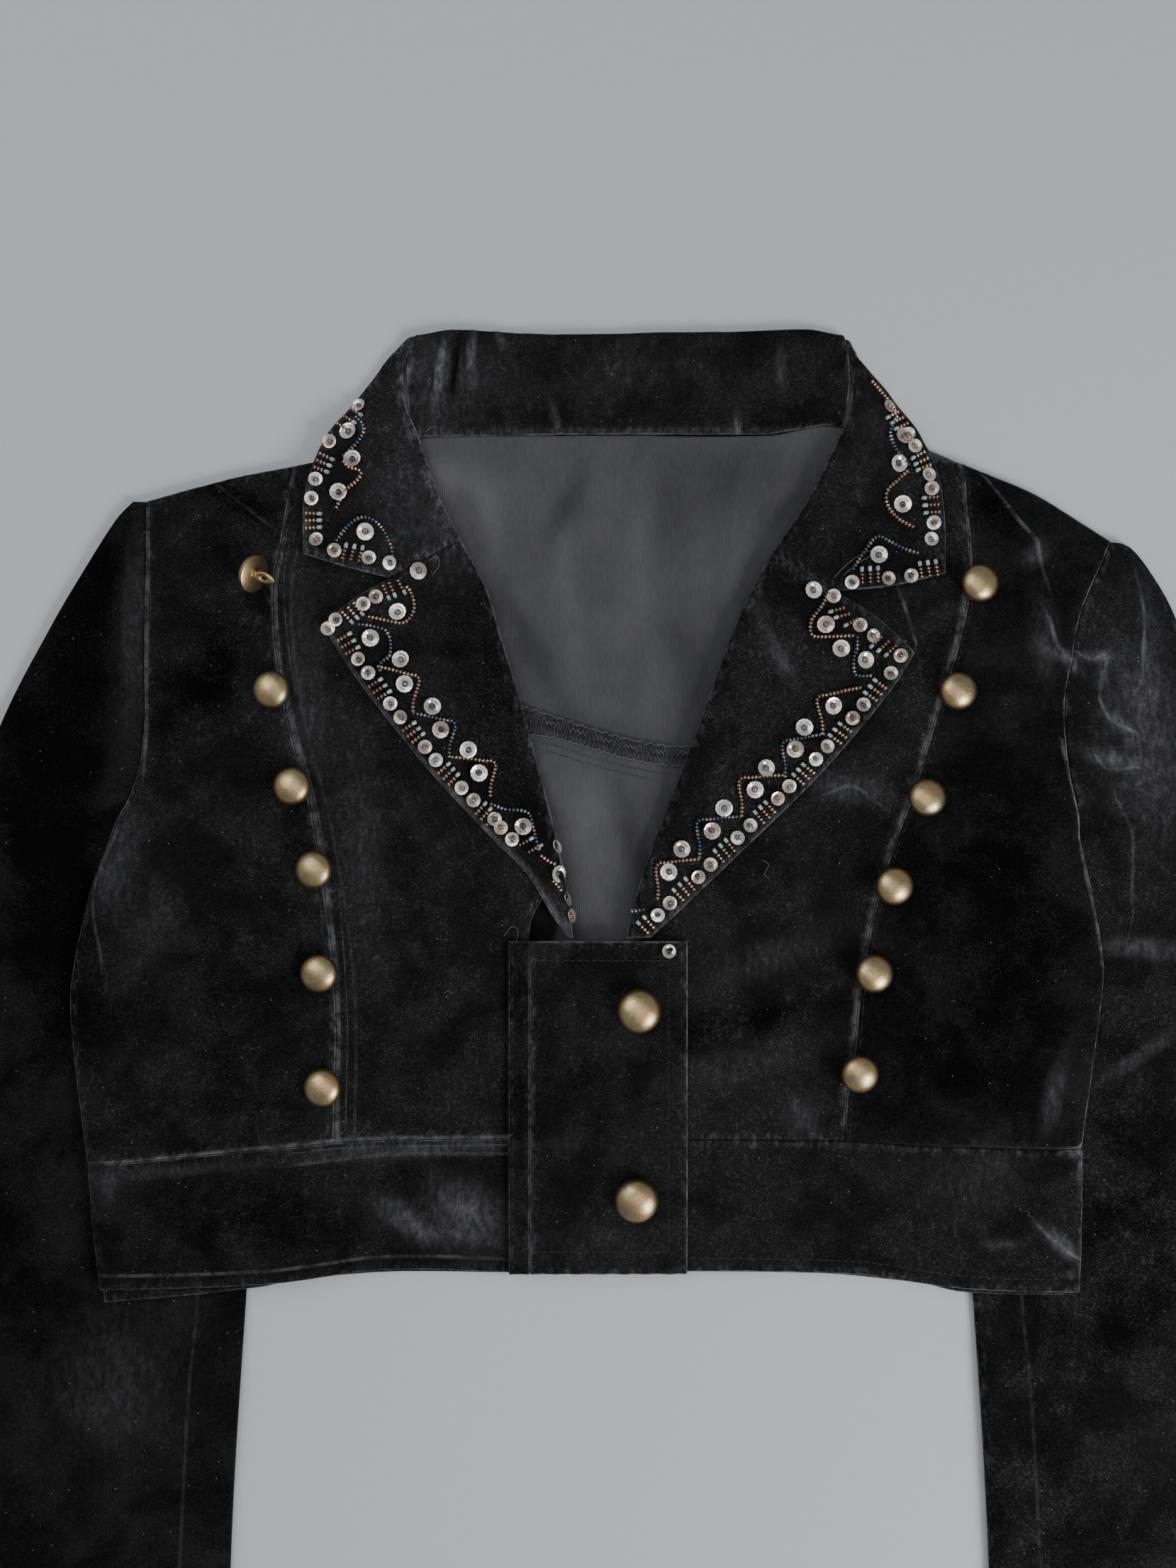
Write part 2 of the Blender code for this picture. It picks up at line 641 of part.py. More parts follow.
def build_waistbands(velvet):
    half = SEAM_GAP / 2
    left_top = moved(smooth(WAIST_SEAM[:4]), 0, -half) + [(PLACKET_LEFT, 61 - half)]
    left_hem = smooth([*FRONT_HEM[:3], (PLACKET_LEFT, 3.6)])
    panel(
        "waistband_left",
        [(
            left_hem, left_top,
            smooth([FRONT_HEM[0], (-208, 26), WAIST_SEAM[0]]),
            [left_hem[-1], left_top[-1]],
            even(12), even(3),
        )],
        front_height, BODY_WALL, velvet,
    )
    right_top = [(UNDERLAP_X, 61 - half), *moved(WAIST_SEAM[-2:], 0, -half)]
    right_hem = smooth([(UNDERLAP_X, 4), *FRONT_HEM[4:]])
    panel(
        "waistband_right",
        [(
            right_hem, right_top,
            [right_hem[0], right_top[0]],
            smooth([FRONT_HEM[-1], (206, 33), WAIST_SEAM[-1]]),
            even(15), even(3),
        )],
        front_height, BODY_WALL, velvet,
    )


def build_placket(velvet):
    half = SEAM_GAP / 2
    strips = (
        ("placket", PLACKET_LEFT + half, PLACKET_RIGHT, 5),
        ("placket_strip", STRIP_LEFT, PLACKET_LEFT - half, 1),
    )
    for name, left, right, columns in strips:
        low = [(left, PLACKET_BOTTOM), (right, PLACKET_BOTTOM)]
        high = [(left, PLACKET_TOP), (right, PLACKET_TOP)]
        sides = ([low[0], high[0]], [low[1], high[1]])
        panel(
            name, [(low, high, *sides, even(columns), even(10))],
            over_front, PLACKET_WALL, velvet,
        )


def mirrored(shares):
    return [1 - share for share in reversed(shares)]


def build_lapels(velvet):
    half = SEAM_GAP / 2
    across = [0, 0.2, 0.4, 0.6, 0.78, 0.9, 0.965, 1]
    gorge = moved(LEFT_GORGE, 0, -half)
    roll = smooth([*LEFT_ROLL[:-1], gorge[1]])
    panel(
        "lapel_left",
        [(
            [LEFT_LAPEL_EDGE[0], LEFT_ROLL[0]], smooth([*LEFT_LAPEL_TOP[:-1], gorge[0]]) + gorge[1:],
            smooth(LEFT_LAPEL_EDGE), roll, across, even(13),
        )],
        lapel_height(LEFT_ROLL), LAPEL_WALL, velvet,
    )
    gorge = moved(RIGHT_GORGE, 0, -half)
    roll = smooth([*RIGHT_ROLL[:-1], gorge[1]])
    edge = smooth([*RIGHT_LAPEL_TOP[:-1], gorge[0]]) + gorge[1:]
    panel(
        "lapel_right",
        [(
            [RIGHT_ROLL[0], RIGHT_LAPEL_EDGE[0]], list(reversed(edge)),
            roll, smooth(RIGHT_LAPEL_EDGE), mirrored(across), even(13),
        )],
        lapel_height(RIGHT_ROLL), LAPEL_WALL, velvet,
    )


def build_collar(velvet):
    half = SEAM_GAP / 2
    across = [0, 0.22, 0.45, 0.68, 0.86, 0.95, 1]
    gorge = moved(LEFT_GORGE, 0, half)
    panel(
        "collar_fall_left",
        [(
            smooth([*LEFT_COLLAR_END[:-1], gorge[0]]) + gorge[1:],
            [LEFT_COLLAR_EDGE[-1], LEFT_COLLAR_ROLL[-1]],
            smooth(LEFT_COLLAR_EDGE), smooth([gorge[1], *LEFT_COLLAR_ROLL[1:]]),
            across, even(10),
        )],
        collar_height(LEFT_COLLAR_ROLL, LEFT_COLLAR_EDGE[2:]), COLLAR_WALL, velvet,
    )
    gorge = moved(RIGHT_GORGE, 0, half)
    edge = smooth([*RIGHT_COLLAR_END[:-1], gorge[0]]) + gorge[1:]
    panel(
        "collar_fall_right",
        [(
            list(reversed(edge)),
            [RIGHT_COLLAR_ROLL[-1], RIGHT_COLLAR_EDGE[-1]],
            smooth([gorge[1], *RIGHT_COLLAR_ROLL[1:]]), smooth(RIGHT_COLLAR_EDGE),
            mirrored(across), even(10),
        )],
        collar_height(RIGHT_COLLAR_ROLL, RIGHT_COLLAR_EDGE[2:]), COLLAR_WALL, velvet,
    )
    build_collar_back(velvet)


def collar_corner(x):
    """How much the back fold's line drops towards its two ends."""
    return 3.0 * ease(14, 0, min(x - FOLD_LEFT, FOLD_RIGHT - x))


def build_collar_back(velvet):
    """The stand inside the neck and the fall that is turned under behind it."""
    radius = COLLAR_FOLD_RADIUS
    fold_y = COLLAR_TOP_Y - radius
    lip_y = fold_y - FOLD_LIP
    turn = [(fold_y + radius * math.sin(a), radius - radius * math.cos(a))
            for a in (math.pi * k / 4 for k in range(5))]
    section = [(346.0, 0.0), (364.0, 0.0), (382.0, 0.0), *turn, (lip_y, 2 * radius)]
    columns = [FOLD_LEFT + (FOLD_RIGHT - FOLD_LEFT) * share for share in even(12)]
    rows = [[placed(x, y - collar_corner(x), z) for y, z in section] for x in columns]
    surface_object("collar_fall_back", rows, COLLAR_WALL, velvet, offset=-1.0)
    stand_level = 2 * radius - COLLAR_WALL
    top = [(x, lip_y - SEAM_GAP - drop) for x, drop in STAND_TOP]
    low = smooth([(-73.5, NECK_SEAM_Y + 0.6), (0, NECK_SEAM_Y + 0.8), (75, NECK_SEAM_Y + 0.8),
                  (106.9, NECK_SEAM_Y + 5.6)])
    panel(
        "collar_stand",
        [(
            low, top,
            smooth([low[0], (-76.6, 369), (-77.3, 382), top[0]]),
            smooth([low[-1], (108.9, 371), (109.8, 381), top[-1]]),
            even(14), even(5),
        )],
        lambda x, y: stand_level, COLLAR_WALL, velvet,
    )


def build_sleeve(side, inner, outer, velvet):
    """One sleeve: under layer, upper layer, and the strip that the seam parts from it."""
    sign = -1 if side == "left" else 1
    across = [0, 0.08, 0.22, 0.38, 0.54, 0.7, 0.84, 0.94, 1]

    def widened(gap):
        """The lengthwise seam, which closes in on the inner edge towards the underarm."""
        width = [
            STRIP_WIDTH * (1 - 0.8 * ease(60, STRIP_TOP_Y, y)) + gap * (1 + 3 * ease(20, 90, y))
            for x, y in inner
        ]
        return [(x + sign * w, y) for (x, y), w in zip(inner, width) if y <= STRIP_TOP_Y]

    def patch(first, last, shares, rows):
        """A patch between two long edges, put left to right on either side."""
        low = [first[0], last[0]]
        high = [first[-1], last[-1]]
        if sign < 0:
            return low[::-1], high[::-1], last, first, mirrored(shares), rows
        return low, high, first, last, shares, rows

    low_outer = smooth([*[p for p in outer if p[1] < UNDERARM_Y], (x_at(outer, 191.5), 191.5)])
    high_outer = smooth([low_outer[-1], *[p for p in outer if p[1] > UNDERARM_Y]])
    low_inner = smooth(inner[:UNDERARM_INDEX])
    high_inner = smooth(inner[UNDERARM_INDEX - 1:])
    panel(
        f"sleeve_{side}_under",
        [
            patch(low_inner, low_outer, even(3), even(14)),
            patch(high_inner, high_outer, even(3), even(6)),
        ],
        on_floor, SLEEVE_WALL, velvet,
    )
    seam = smooth([*widened(SEAM_GAP), *inner[6:UNDERARM_INDEX]])
    panel(
        f"sleeve_{side}_top",
        [
            patch(seam, low_outer, across, even(18)),
            patch(high_inner, high_outer, across, even(9)),
        ],
        sleeve_height, SLEEVE_WALL, velvet,
    )
    strip_inner = smooth([point for point in inner if point[1] <= STRIP_TOP_Y])
    panel(
        f"sleeve_{side}_strip", [patch(strip_inner, smooth(widened(0)), even(3), even(16))],
        sleeve_height, SLEEVE_WALL, velvet,
    )


def button_profile(radius):
    """Half a section of a domed shank button, from the top of its dome down to its shank."""
    profile = [(0.0, BUTTON_RIM + DOME_SHARE * radius)]
    for k in range(1, 5):
        angle = math.radians(90 - 22 * k)
        rise = DOME_SHARE * radius * math.sin(angle)
        profile.append((radius * math.cos(angle), BUTTON_RIM + rise))
    back = BUTTON_RIM - 0.7
    return profile + [(radius - 0.5, back), (SHANK_RADIUS + 0.4, back - 0.2), (SHANK_RADIUS, 0.0), (0.0, 0.0)]


def button_mesh(name, profile, look):
    """The profile as a line that each button's Screw modifier turns."""
    mesh = bpy.data.meshes.new(name)
    bm = bmesh.new()
    points = [bm.verts.new((r * MM, 0, z * MM)) for r, z in profile]
    for a, b in zip(points, points[1:]):
        bm.edges.new((a, b))
    bm.to_mesh(mesh)
    bm.free()
    mesh.materials.append(look)
    return mesh


def build_button(row, mesh, profile, height):
    """A button seated on the cloth at the lowest point of its lean."""
    obj = bpy.data.objects.new(row["name"], mesh)
    PARTS.objects.link(obj)
    turned = obj.modifiers.new("Turned", "SCREW")
    turned.steps = BUTTON_STEPS
    turned.render_steps = BUTTON_STEPS
    turned.use_merge_vertices = True
    turned.merge_threshold = 0.0001
    turned.use_smooth_shade = True
    x, y = row["at"]
    lean = math.radians(row["lean"])
    toward = math.radians(row["toward"])
    drop, reach = max(
        (r * math.sin(lean) - z * math.cos(lean), r * math.cos(lean) + z * math.sin(lean))
        for r, z in profile
    )
    seat = height(x + reach * math.cos(toward), y + reach * math.sin(toward))
    place = placed(x, y, seat + drop + BUTTON_SEAT - row["press"])
    axis = Vector((-math.sin(toward), math.cos(toward), 0))
    obj.matrix_world = Matrix.Translation(place) @ Matrix.Rotation(lean, 4, axis)


def on_front(x, y):
    return front_height(x, y) + BODY_WALL


def on_placket(x, y):
    return over_front(x, y) + PLACKET_WALL


def build_buttons(brass):
    for rows, radius, height in (
        (SIDE_BUTTONS, SIDE_BUTTON_RADIUS, on_front),
        (PLACKET_BUTTONS, PLACKET_BUTTON_RADIUS, on_placket),
    ):
        profile = button_profile(radius)
        mesh = button_mesh(f"button_{radius}", profile, brass)
        for row in rows:
            build_button(row, mesh, profile, height)


# Build

for old in list(bpy.data.objects):
    bpy.data.objects.remove(old, do_unlink=True)
PARTS = bpy.data.collections.new("velvet_jacket")
bpy.context.scene.collection.children.link(PARTS)

VELVET = material("Black velvet", (0.012, 0.012, 0.014), 0.75)
BRASS = material("Antique brass", (0.30, 0.24, 0.13), 0.35, 1.0)

build_back(VELVET)
build_fronts(VELVET)
build_placket(VELVET)
build_lapels(VELVET)
build_collar(VELVET)
build_sleeve("left", LEFT_SLEEVE_INNER, LEFT_SLEEVE_OUTER, VELVET)
build_sleeve("right", RIGHT_SLEEVE_INNER, RIGHT_SLEEVE_OUTER, VELVET)
build_buttons(BRASS)
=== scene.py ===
"""Looks of a cropped velvet jacket that lies flat: cloth, edging, buttons, stage.

Plan sizes are in millimetres from the middle of the hem, +X to the viewer's
right and +Y towards the collar, as in the part's own source.
"""

import functools
import math

import bmesh
import bpy
import numpy as np
from mathutils import Matrix, Vector


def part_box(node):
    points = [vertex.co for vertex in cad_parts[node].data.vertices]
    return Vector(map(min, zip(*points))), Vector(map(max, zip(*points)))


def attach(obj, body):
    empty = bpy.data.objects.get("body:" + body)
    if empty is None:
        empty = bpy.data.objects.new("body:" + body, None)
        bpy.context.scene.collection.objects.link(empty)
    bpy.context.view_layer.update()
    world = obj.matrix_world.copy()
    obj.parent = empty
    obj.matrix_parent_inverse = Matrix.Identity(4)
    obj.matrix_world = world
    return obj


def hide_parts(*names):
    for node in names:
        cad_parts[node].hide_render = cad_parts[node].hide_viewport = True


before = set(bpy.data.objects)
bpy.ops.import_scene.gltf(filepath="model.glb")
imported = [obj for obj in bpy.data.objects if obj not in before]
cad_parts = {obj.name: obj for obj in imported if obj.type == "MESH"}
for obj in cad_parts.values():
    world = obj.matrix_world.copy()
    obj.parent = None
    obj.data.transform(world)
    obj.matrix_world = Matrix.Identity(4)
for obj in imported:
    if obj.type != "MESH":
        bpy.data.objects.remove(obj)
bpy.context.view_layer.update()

bl_info = {
    "name": "Laid velvet jacket",
    "version": (1, 0, 0),
    "blender": (4, 5, 0),
    "location": "3D View > Sidebar > Jacket",
    "description": "Cloth, edging, buttons and stage of a velvet jacket that lies flat",
    "category": "Object",
}

MM = 0.001

# Plan edges of each half, from bottom to top
LEFT = {
    "name": "left", "sign": -1, "turned_shine": (1.1, 0.8, 0.45),
    "side": [(-205, -2), (-210, 51), (-216, 100), (-217, 125), (-209, 164), (-199, 189)],
    "armhole": [(-199, 191), (-190, 209), (-187, 232), (-187, 286), (-186.5, 308), (-187, 329)],
    "princess": [(-107, 60), (-106.5, 85), (-106, 111), (-108, 140), (-112, 170), (-118, 203),
                 (-125, 229), (-131, 259), (-133, 290), (-129, 314), (-124, 344)],
    "roll": [(-7, 145), (-11, 174), (-28.6, 243), (-38, 274), (-43, 291), (-54, 312)],
    "collar_roll": [(-54.5, 312.5), (-63, 330), (-72, 356), (-77.5, 370), (-78, 384), (-74, 399)],
    "lapel_edge": [(-9.5, 146), (-15, 153.5), (-26.4, 172), (-41, 187), (-65.3, 213),
                   (-84.8, 236.8), (-101, 258.5), (-112.2, 276.6)],
    "lapel_top": [(-112.2, 276.6), (-98, 288), (-84, 296)],
    "gorge": [(-84, 296), (-54, 312)],
    "collar_edge": [(-120, 306), (-119.5, 330), (-113, 352), (-98, 373), (-91, 382), (-85.5, 389.8),
                    (-79.5, 396)],
    "collar_end": [(-120, 306), (-102, 300.5), (-84.5, 297)],
    "shoulder": [(-187, 329), (-150, 339), (-114, 346), (-90, 351)],
    "sleeve_inner": [(-153, -240), (-152, -120), (-145, 0), (-140, 70), (-139, 120), (-147, 155),
                     (-165, 178), (-194, 187), (-199.2, 191.5), (-190.1, 209), (-187.1, 232),
                     (-187.1, 286), (-186.6, 308), (-187.1, 329)],
    "sleeve_outer": [(-258, -240), (-259, -120), (-261, 0), (-264, 100), (-262, 170), (-256, 212),
                     (-248, 237.5), (-227, 278), (-214, 300), (-200, 322), (-193, 329.3)],
}
RIGHT = {
    "name": "right", "sign": 1, "turned_shine": (0.15, 0.1, 0.2),
    "side": [(205, -3), (206, 33), (206, 60), (213, 111), (215, 134), (210, 165), (204, 189)],
    "armhole": [(204, 191), (200, 217), (200, 250), (206, 280), (214, 300), (220, 312)],
    "princess": [(107, 60), (108, 78), (111, 97), (113, 122), (119, 155), (126, 180), (136, 207),
                 (146, 240), (155, 270), (160, 300), (156, 345)],
    "roll": [(15, 145), (23, 174), (49, 243), (61, 276), (68, 291), (76.5, 306)],
    "collar_roll": [(77, 306.5), (92, 330), (103, 352), (108, 362), (110.5, 380), (107, 397.5)],
    "lapel_edge": [(25.5, 145.5), (34.5, 153.6), (62.6, 180.5), (96.6, 213.8), (126.4, 249.2),
                   (136.4, 265)],
    "lapel_top": [(136.4, 265), (120, 280), (103, 290.5)],
    "gorge": [(103, 290.5), (76.5, 306)],
    "collar_edge": [(149, 298), (148.7, 321), (145, 342), (139, 356), (126, 376), (119.5, 383.5),
                    (112.5, 391.6)],
    "collar_end": [(149, 298), (126, 292.5), (103.5, 291.2)],
    "shoulder": [(128, 356), (156, 346), (188, 332), (220, 312)],
    "sleeve_inner": [(171, -240), (169, -120), (162, -2), (156, 70), (154, 120), (160, 155),
                     (175, 178), (197, 187), (204.2, 191.5), (200.1, 217), (200.1, 250),
                     (206.1, 280), (214.1, 300), (220.1, 312)],
    "sleeve_outer": [(275, -240), (275, -120), (276, 0), (276, 100), (274, 170), (269, 208),
                     (261, 245), (246, 284), (236, 301), (229, 309.5), (225, 311.6)],
}

# Lines from the left side to the right side
WAIST_SEAM = [(-210, 51), (-174, 54), (-144, 57), (-107, 60), (107, 60), (206, 57)]
FRONT_HEM = [(-205, -2), (-142, 0.3), (-82, 5), (-28, 3.5), (41, 4.5), (116, 3), (162, -1.5),
             (205, -3)]
BACK_HEM = [(-204, -8), (-168, -5), (-142, -2), (-112, 1), (-82, 3), (-28, 2.6), (41, 3),
            (100, 2.2), (130, -0.6), (162, -4), (204, -5)]
BACK_WAIST_SEAM = [(-209, 50), (-100, 55), (0, 56), (100, 55), (205, 55)]
BACK_YOKE_SEAM = [(-186.4, 245), (-110, 246), (-27, 236), (32, 221.5), (110, 224), (199, 236)]
BACK_NECK = [(-186.4, 329), (-150, 339), (-90, 351), (-70, 356), (0, 357), (75, 357), (100, 361),
             (128, 356), (156, 346), (219.4, 312)]

# Walls and the gaps between layers, as the solids have them
BODY_WALL = 1.6
SLEEVE_WALL = 1.5
LAPEL_WALL = 2.0
COLLAR_WALL = 2.0
PLACKET_WALL = 2.2
LAYER_GAP = 0.5
SLEEVE_GAP = 0.4
HALF_SEAM = 0.05
NARROWEST_CUT = 0.012

# Grids: how far inside an edge the fine lines lie
EDGE_ROWS = (0.0, 0.2, 0.5, 0.95, 1.7)

# How far the layers stand up
FRONT_PUFF = 2.9
LEAST_PUFF = 0.2
LEAST_LEVEL = 0.02
SLEEVE_LIFT = 5.4
COLLAR_LIFT = 2.4
SIDE_ROUND = 18.0
SHOULDER_ROUND = 16.0
HEM_ROUND = 26.0
HEM_TUCK = 0.3
ROLL_SETBACK = 3.2
EDGE_SETBACK = 4.4
ROLL_DROP = 1.5
BACK_CLIMB = (-22.0, -6.0)
FRONT_CLIMB = (-58.0, -10.0)
COLLAR_CLIMB = (322.0, 341.0)
COLLAR_MIDDLE_X = 15.0
COLLAR_FADE = (96.0, 150.0)
ARMHOLE_FADE = (184.0, 214.0)
ARMHOLE_SLACK = 40.0

# Sleeves
SLEEVE_PUFF_HIDDEN = 1.0
SLEEVE_PUFF = 4.2
LEAST_SLEEVE_PUFF = 0.6
SLEEVE_ROUND = 20.0
INNER_ROUND = 9.0
SIDE_FILL = (6.0, 26.0)
HEM_FILL = (-16.0, -40.0)
SLEEVE_HEAD = (192.0, 206.0)
UNDERARM_Y = 190.0
SLEEVE_SPLIT_Y = 191.5
UNDERARM_INDEX = 9
HEAD_FOLD = (22.0, 10.0)
SLEEVE_SEAM_WIDTH = 20.0

# Collar
FALL_DROP = (354.0, 384.0)
FALL_TUCK = (356.0, 372.0)
TUCK_ROUND = 12.0
FALL_AIR = 0.4
STAND_TUCK = 0.8
COLLAR_TOP_Y = 402.0
NECK_SEAM_Y = 357.0

# Edges of cloth: a slight ripple, and where the welt of a seam rises and falls
RIPPLE = 0.2
WELT_START = (0.3, 1.2)
WELT_END = (5.6, 7.2)
# What the finishes read: how worn and lit a piece without its own values is (painted light in
# part), the strength of its painted rim highlight, and their fades
DEFAULT_WEAR_AND_LIGHT = 0.3
DEFAULT_RIM = 0.6
GORGE_FADE = (1.5, 4)
AT_SIDE = (196, 201)
DENSE_LINE = 12
FAR_FROM_LINES = 30.0
GRAIN_SCALE = 100
RIB_PITCH = 0.85

# Placket
PLACKET_LEFT = -25.0
PLACKET_RIGHT = 41.0
PLACKET_TOP = 144.0
PLACKET_BOTTOM = 4.0
STRIP_LEFT = -34.0
UNDERLAP_X = -20.0
PRINCESS_SPLIT_Y = 196.0

# The plan's place in the frame, from the placket's own corner
CAD_HALF_SEAM = 0.2
_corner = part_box("placket")[0]
MIDDLE_X = PLACKET_LEFT + CAD_HALF_SEAM - _corner[0] / MM
MIDDLE_Y = PLACKET_BOTTOM - _corner[1] / MM

# Soft folds of the fronts: path, half width, height (a trough is less than 0)
FRONT_FOLDS = [
    ([(-168, 330), (-136, 296)], 9, 2.2), ([(-198, 176), (-150, 130)], 13, 1.2),
    ([(-186, 262), (-160, 226)], 12, 1.3), ([(-205, 88), (-150, 72)], 10, 1.0),
    ([(-96, 110), (-60, 84)], 12, 0.8), ([(-186, 26), (-120, 20)], 12, 1.0),
    ([(160, 341), (184, 312)], 8, 3.0), ([(184, 312), (190, 276)], 8, 3.0),
    ([(190, 276), (202, 258)], 8, 2.4), ([(202, 196), (162, 150)], 13, 1.4),
    ([(205, 120), (192, 70)], 10, 1.3), ([(96, 190), (70, 150)], 12, 0.7),
    ([(178, 36), (204, 12)], 8, 2.6), ([(70, 36), (140, 28)], 12, 0.8),
]
# Finer creases of the fronts, the same way
FRONT_CREASES = [
    ([(-162, 339), (-148, 328), (-134, 318)], 5, -1.5),
    ([(-137, 289), (-159, 261), (-169, 238)], 9, -1.5),
    ([(-183, 212), (-168, 228), (-150, 252)], 7, 0.8),
    ([(-206, 150), (-196, 172), (-186, 196)], 5, 0.9),
    ([(-204, 118), (-184, 140), (-170, 168)], 7, -0.8),
    ([(-92, 196), (-80, 150), (-84, 104)], 10, -0.6), ([(-60, 168), (-44, 132), (-40, 92)], 8, 0.6),
    ([(-200, 34), (-160, 40), (-118, 34)], 6, -0.7), ([(-100, 40), (-70, 24), (-40, 30)], 8, 0.8),
    ([(-96, 12), (-66, 16), (-40, 12)], 6, -0.5),
    ([(166.6, 337.6), (176, 324), (185.4, 310.8)], 2.2, 0.9),
    ([(185.4, 310.8), (191, 293.5), (191, 279), (194, 270), (201, 261)], 3, 1.0),
    ([(160, 328), (174, 306), (181, 286), (185, 268)], 6, -1.6),
    ([(128.7, 293.5), (133, 282), (136.5, 270)], 2, 0.6),
    ([(94, 207), (107, 210), (122.5, 200.6)], 4, 0.8),
    ([(86, 196), (104, 198), (120, 189)], 6, -0.7),
    ([(200, 217), (203, 203), (207.4, 178.5), (211.5, 156.5)], 4, 0.9),
    ([(196, 176), (176, 156), (166, 128)], 9, -1.2), ([(183, 30), (195, 18), (205, 11)], 3, 1.1),
    ([(172, 26), (188, 10), (196, 2)], 6, -1.0), ([(150, 96), (176, 86), (200, 92)], 8, -0.7),
    ([(56, 120), (80, 108), (100, 112)], 8, 0.6), ([(60, 84), (84, 76), (104, 80)], 8, -0.6),
    ([(170, 256), (176, 232), (192, 214)], 8, -0.9),
]
# Soft folds of the sleeves
SLEEVE_FOLDS = [
    ([(-204, 320), (-206, 262)], 8, 1.6), ([(-244, 236), (-216, 206)], 11, 1.8),
    ([(-256, 170), (-222, 140)], 12, 1.6), ([(-250, 60), (-222, 84)], 12, 1.5),
    ([(-240, 10), (-190, -40)], 13, 2.0), ([(-246, -90), (-186, -120)], 13, 1.7),
    ([(-232, -150), (-180, -190)], 13, 1.5), ([(228, 300), (231, 256)], 8, 3.4),
    ([(210, 264), (226, 216)], 8, 3.2), ([(262, 214), (222, 186)], 11, 2.2),
    ([(266, 150), (226, 166)], 11, 1.8), ([(262, 60), (226, 94)], 12, 1.6),
    ([(256, 6), (204, -38)], 13, 2.0), ([(262, -84), (200, -116)], 13, 1.7),
    ([(250, -150), (196, -196)], 13, 1.5),
]
SLEEVE_CREASES = [
    ([(-214, 296), (-216, 262), (-212, 226), (-214, 196)], 7, -2.0),
    ([(-222, 180), (-232, 150), (-228, 118)], 7, -1.0),
    ([(-252, 118), (-236, 104), (-224, 96)], 6, 0.8),
    ([(-228, 52), (-238, 20), (-232, -14)], 8, -1.0),
    ([(-236, -50), (-210, -66), (-176, -60)], 8, 1.0),
    ([(-216, -14), (-196, -16), (-172, -8)], 6, -0.8),
    ([(-190, -40), (-186, -80), (-192, -116)], 9, -0.9),
    ([(-240, -120), (-216, -140), (-180, -138)], 8, -1.0),
    ([(-246, -196), (-210, -206), (-172, -220)], 9, 1.0),
    ([(205.3, 264.3), (211.6, 263), (217, 264.3), (215.5, 254), (214, 246), (218.7, 236.6),
      (226.5, 232)], 2.6, 1.2),
    ([(209, 222.6), (217, 216), (228, 217)], 4, 1.2),
    ([(228.9, 299.8), (231, 282.5), (230.4, 260.5)], 2.6, 0.9),
    ([(221.7, 202), (226.5, 189.5), (227.4, 159.4)], 3, 0.9),
    ([(238, 262), (236, 234), (242, 208)], 7, -1.3),
    ([(222, 288), (223, 272), (224, 246)], 5, -1.3),
    ([(240, 176), (238, 146), (244, 116)], 8, -1.0), ([(268, 118), (246, 110), (230, 118)], 7, 0.8),
    ([(236, 66), (248, 30), (240, -8)], 8, -1.0), ([(262, -34), (236, -56), (204, -60)], 8, 1.0),
    ([(212, -20), (208, -60), (216, -104)], 9, -0.9),
    ([(260, -120), (236, -136), (196, -140)], 8, -1.0),
    ([(266, -196), (230, -208), (190, -222)], 9, 1.0),
]
# Folds of the back's inner side, which shows in the neck
BACK_FOLDS = [
    ([(-66, 344), (-57, 340), (-44, 334)], 6, 1.3),
    ([(-50, 334), (-42.6, 321.5), (-36, 300), (-24, 268)], 4.5, 1.5),
    ([(-4.7, 339), (-12, 326), (-17.6, 313)], 4, -1.6),
    ([(-40.5, 295.6), (-26, 270), (-9, 242.5)], 5, -1.5),
    ([(24, 350), (18, 312), (26, 270), (22, 244)], 6, 2.0),
    ([(44, 348), (40, 316), (46, 284)], 5, -1.4), ([(66, 346), (58, 318), (60, 292)], 6, 1.5),
    ([(0, 344), (-2, 306), (6, 268)], 5, 1.4), ([(-24, 262), (-6, 250), (18, 240)], 5, 1.2),
    ([(-22, 218), (-8, 196), (0, 168)], 5, 1.5), ([(4, 216), (12, 192), (12, 160)], 4, -1.2),
    ([(30, 208), (20, 186), (14, 160)], 4, 1.2), ([(-100, 180), (-60, 150), (-70, 100)], 14, 0.6),
    ([(110, 180), (70, 140), (84, 90)], 14, 0.6),
]
# Folds of the collar's falls and stand, in plan
COLLAR_CREASES = [
    ([(-92, 372), (-90, 346), (-98, 322)], 6, 0.8),
    ([(-108, 352), (-106, 330), (-110, 314)], 4, -0.5),
    ([(-76, 352), (-70, 336), (-70, 320)], 4, -0.4), ([(118, 372), (122, 348), (118, 322)], 7, 0.8),
    ([(136, 350), (136, 326), (132, 308)], 4, -0.5),
]
# How far the stand's top edge sags, across it
STAND_SAG = [(-74, 0), (-52, 0.2), (-38, 1.2), (-15, 2.2), (6, 1.9), (31, 1.2), (57, 1.2), (86, 0),
             (107, 0)]
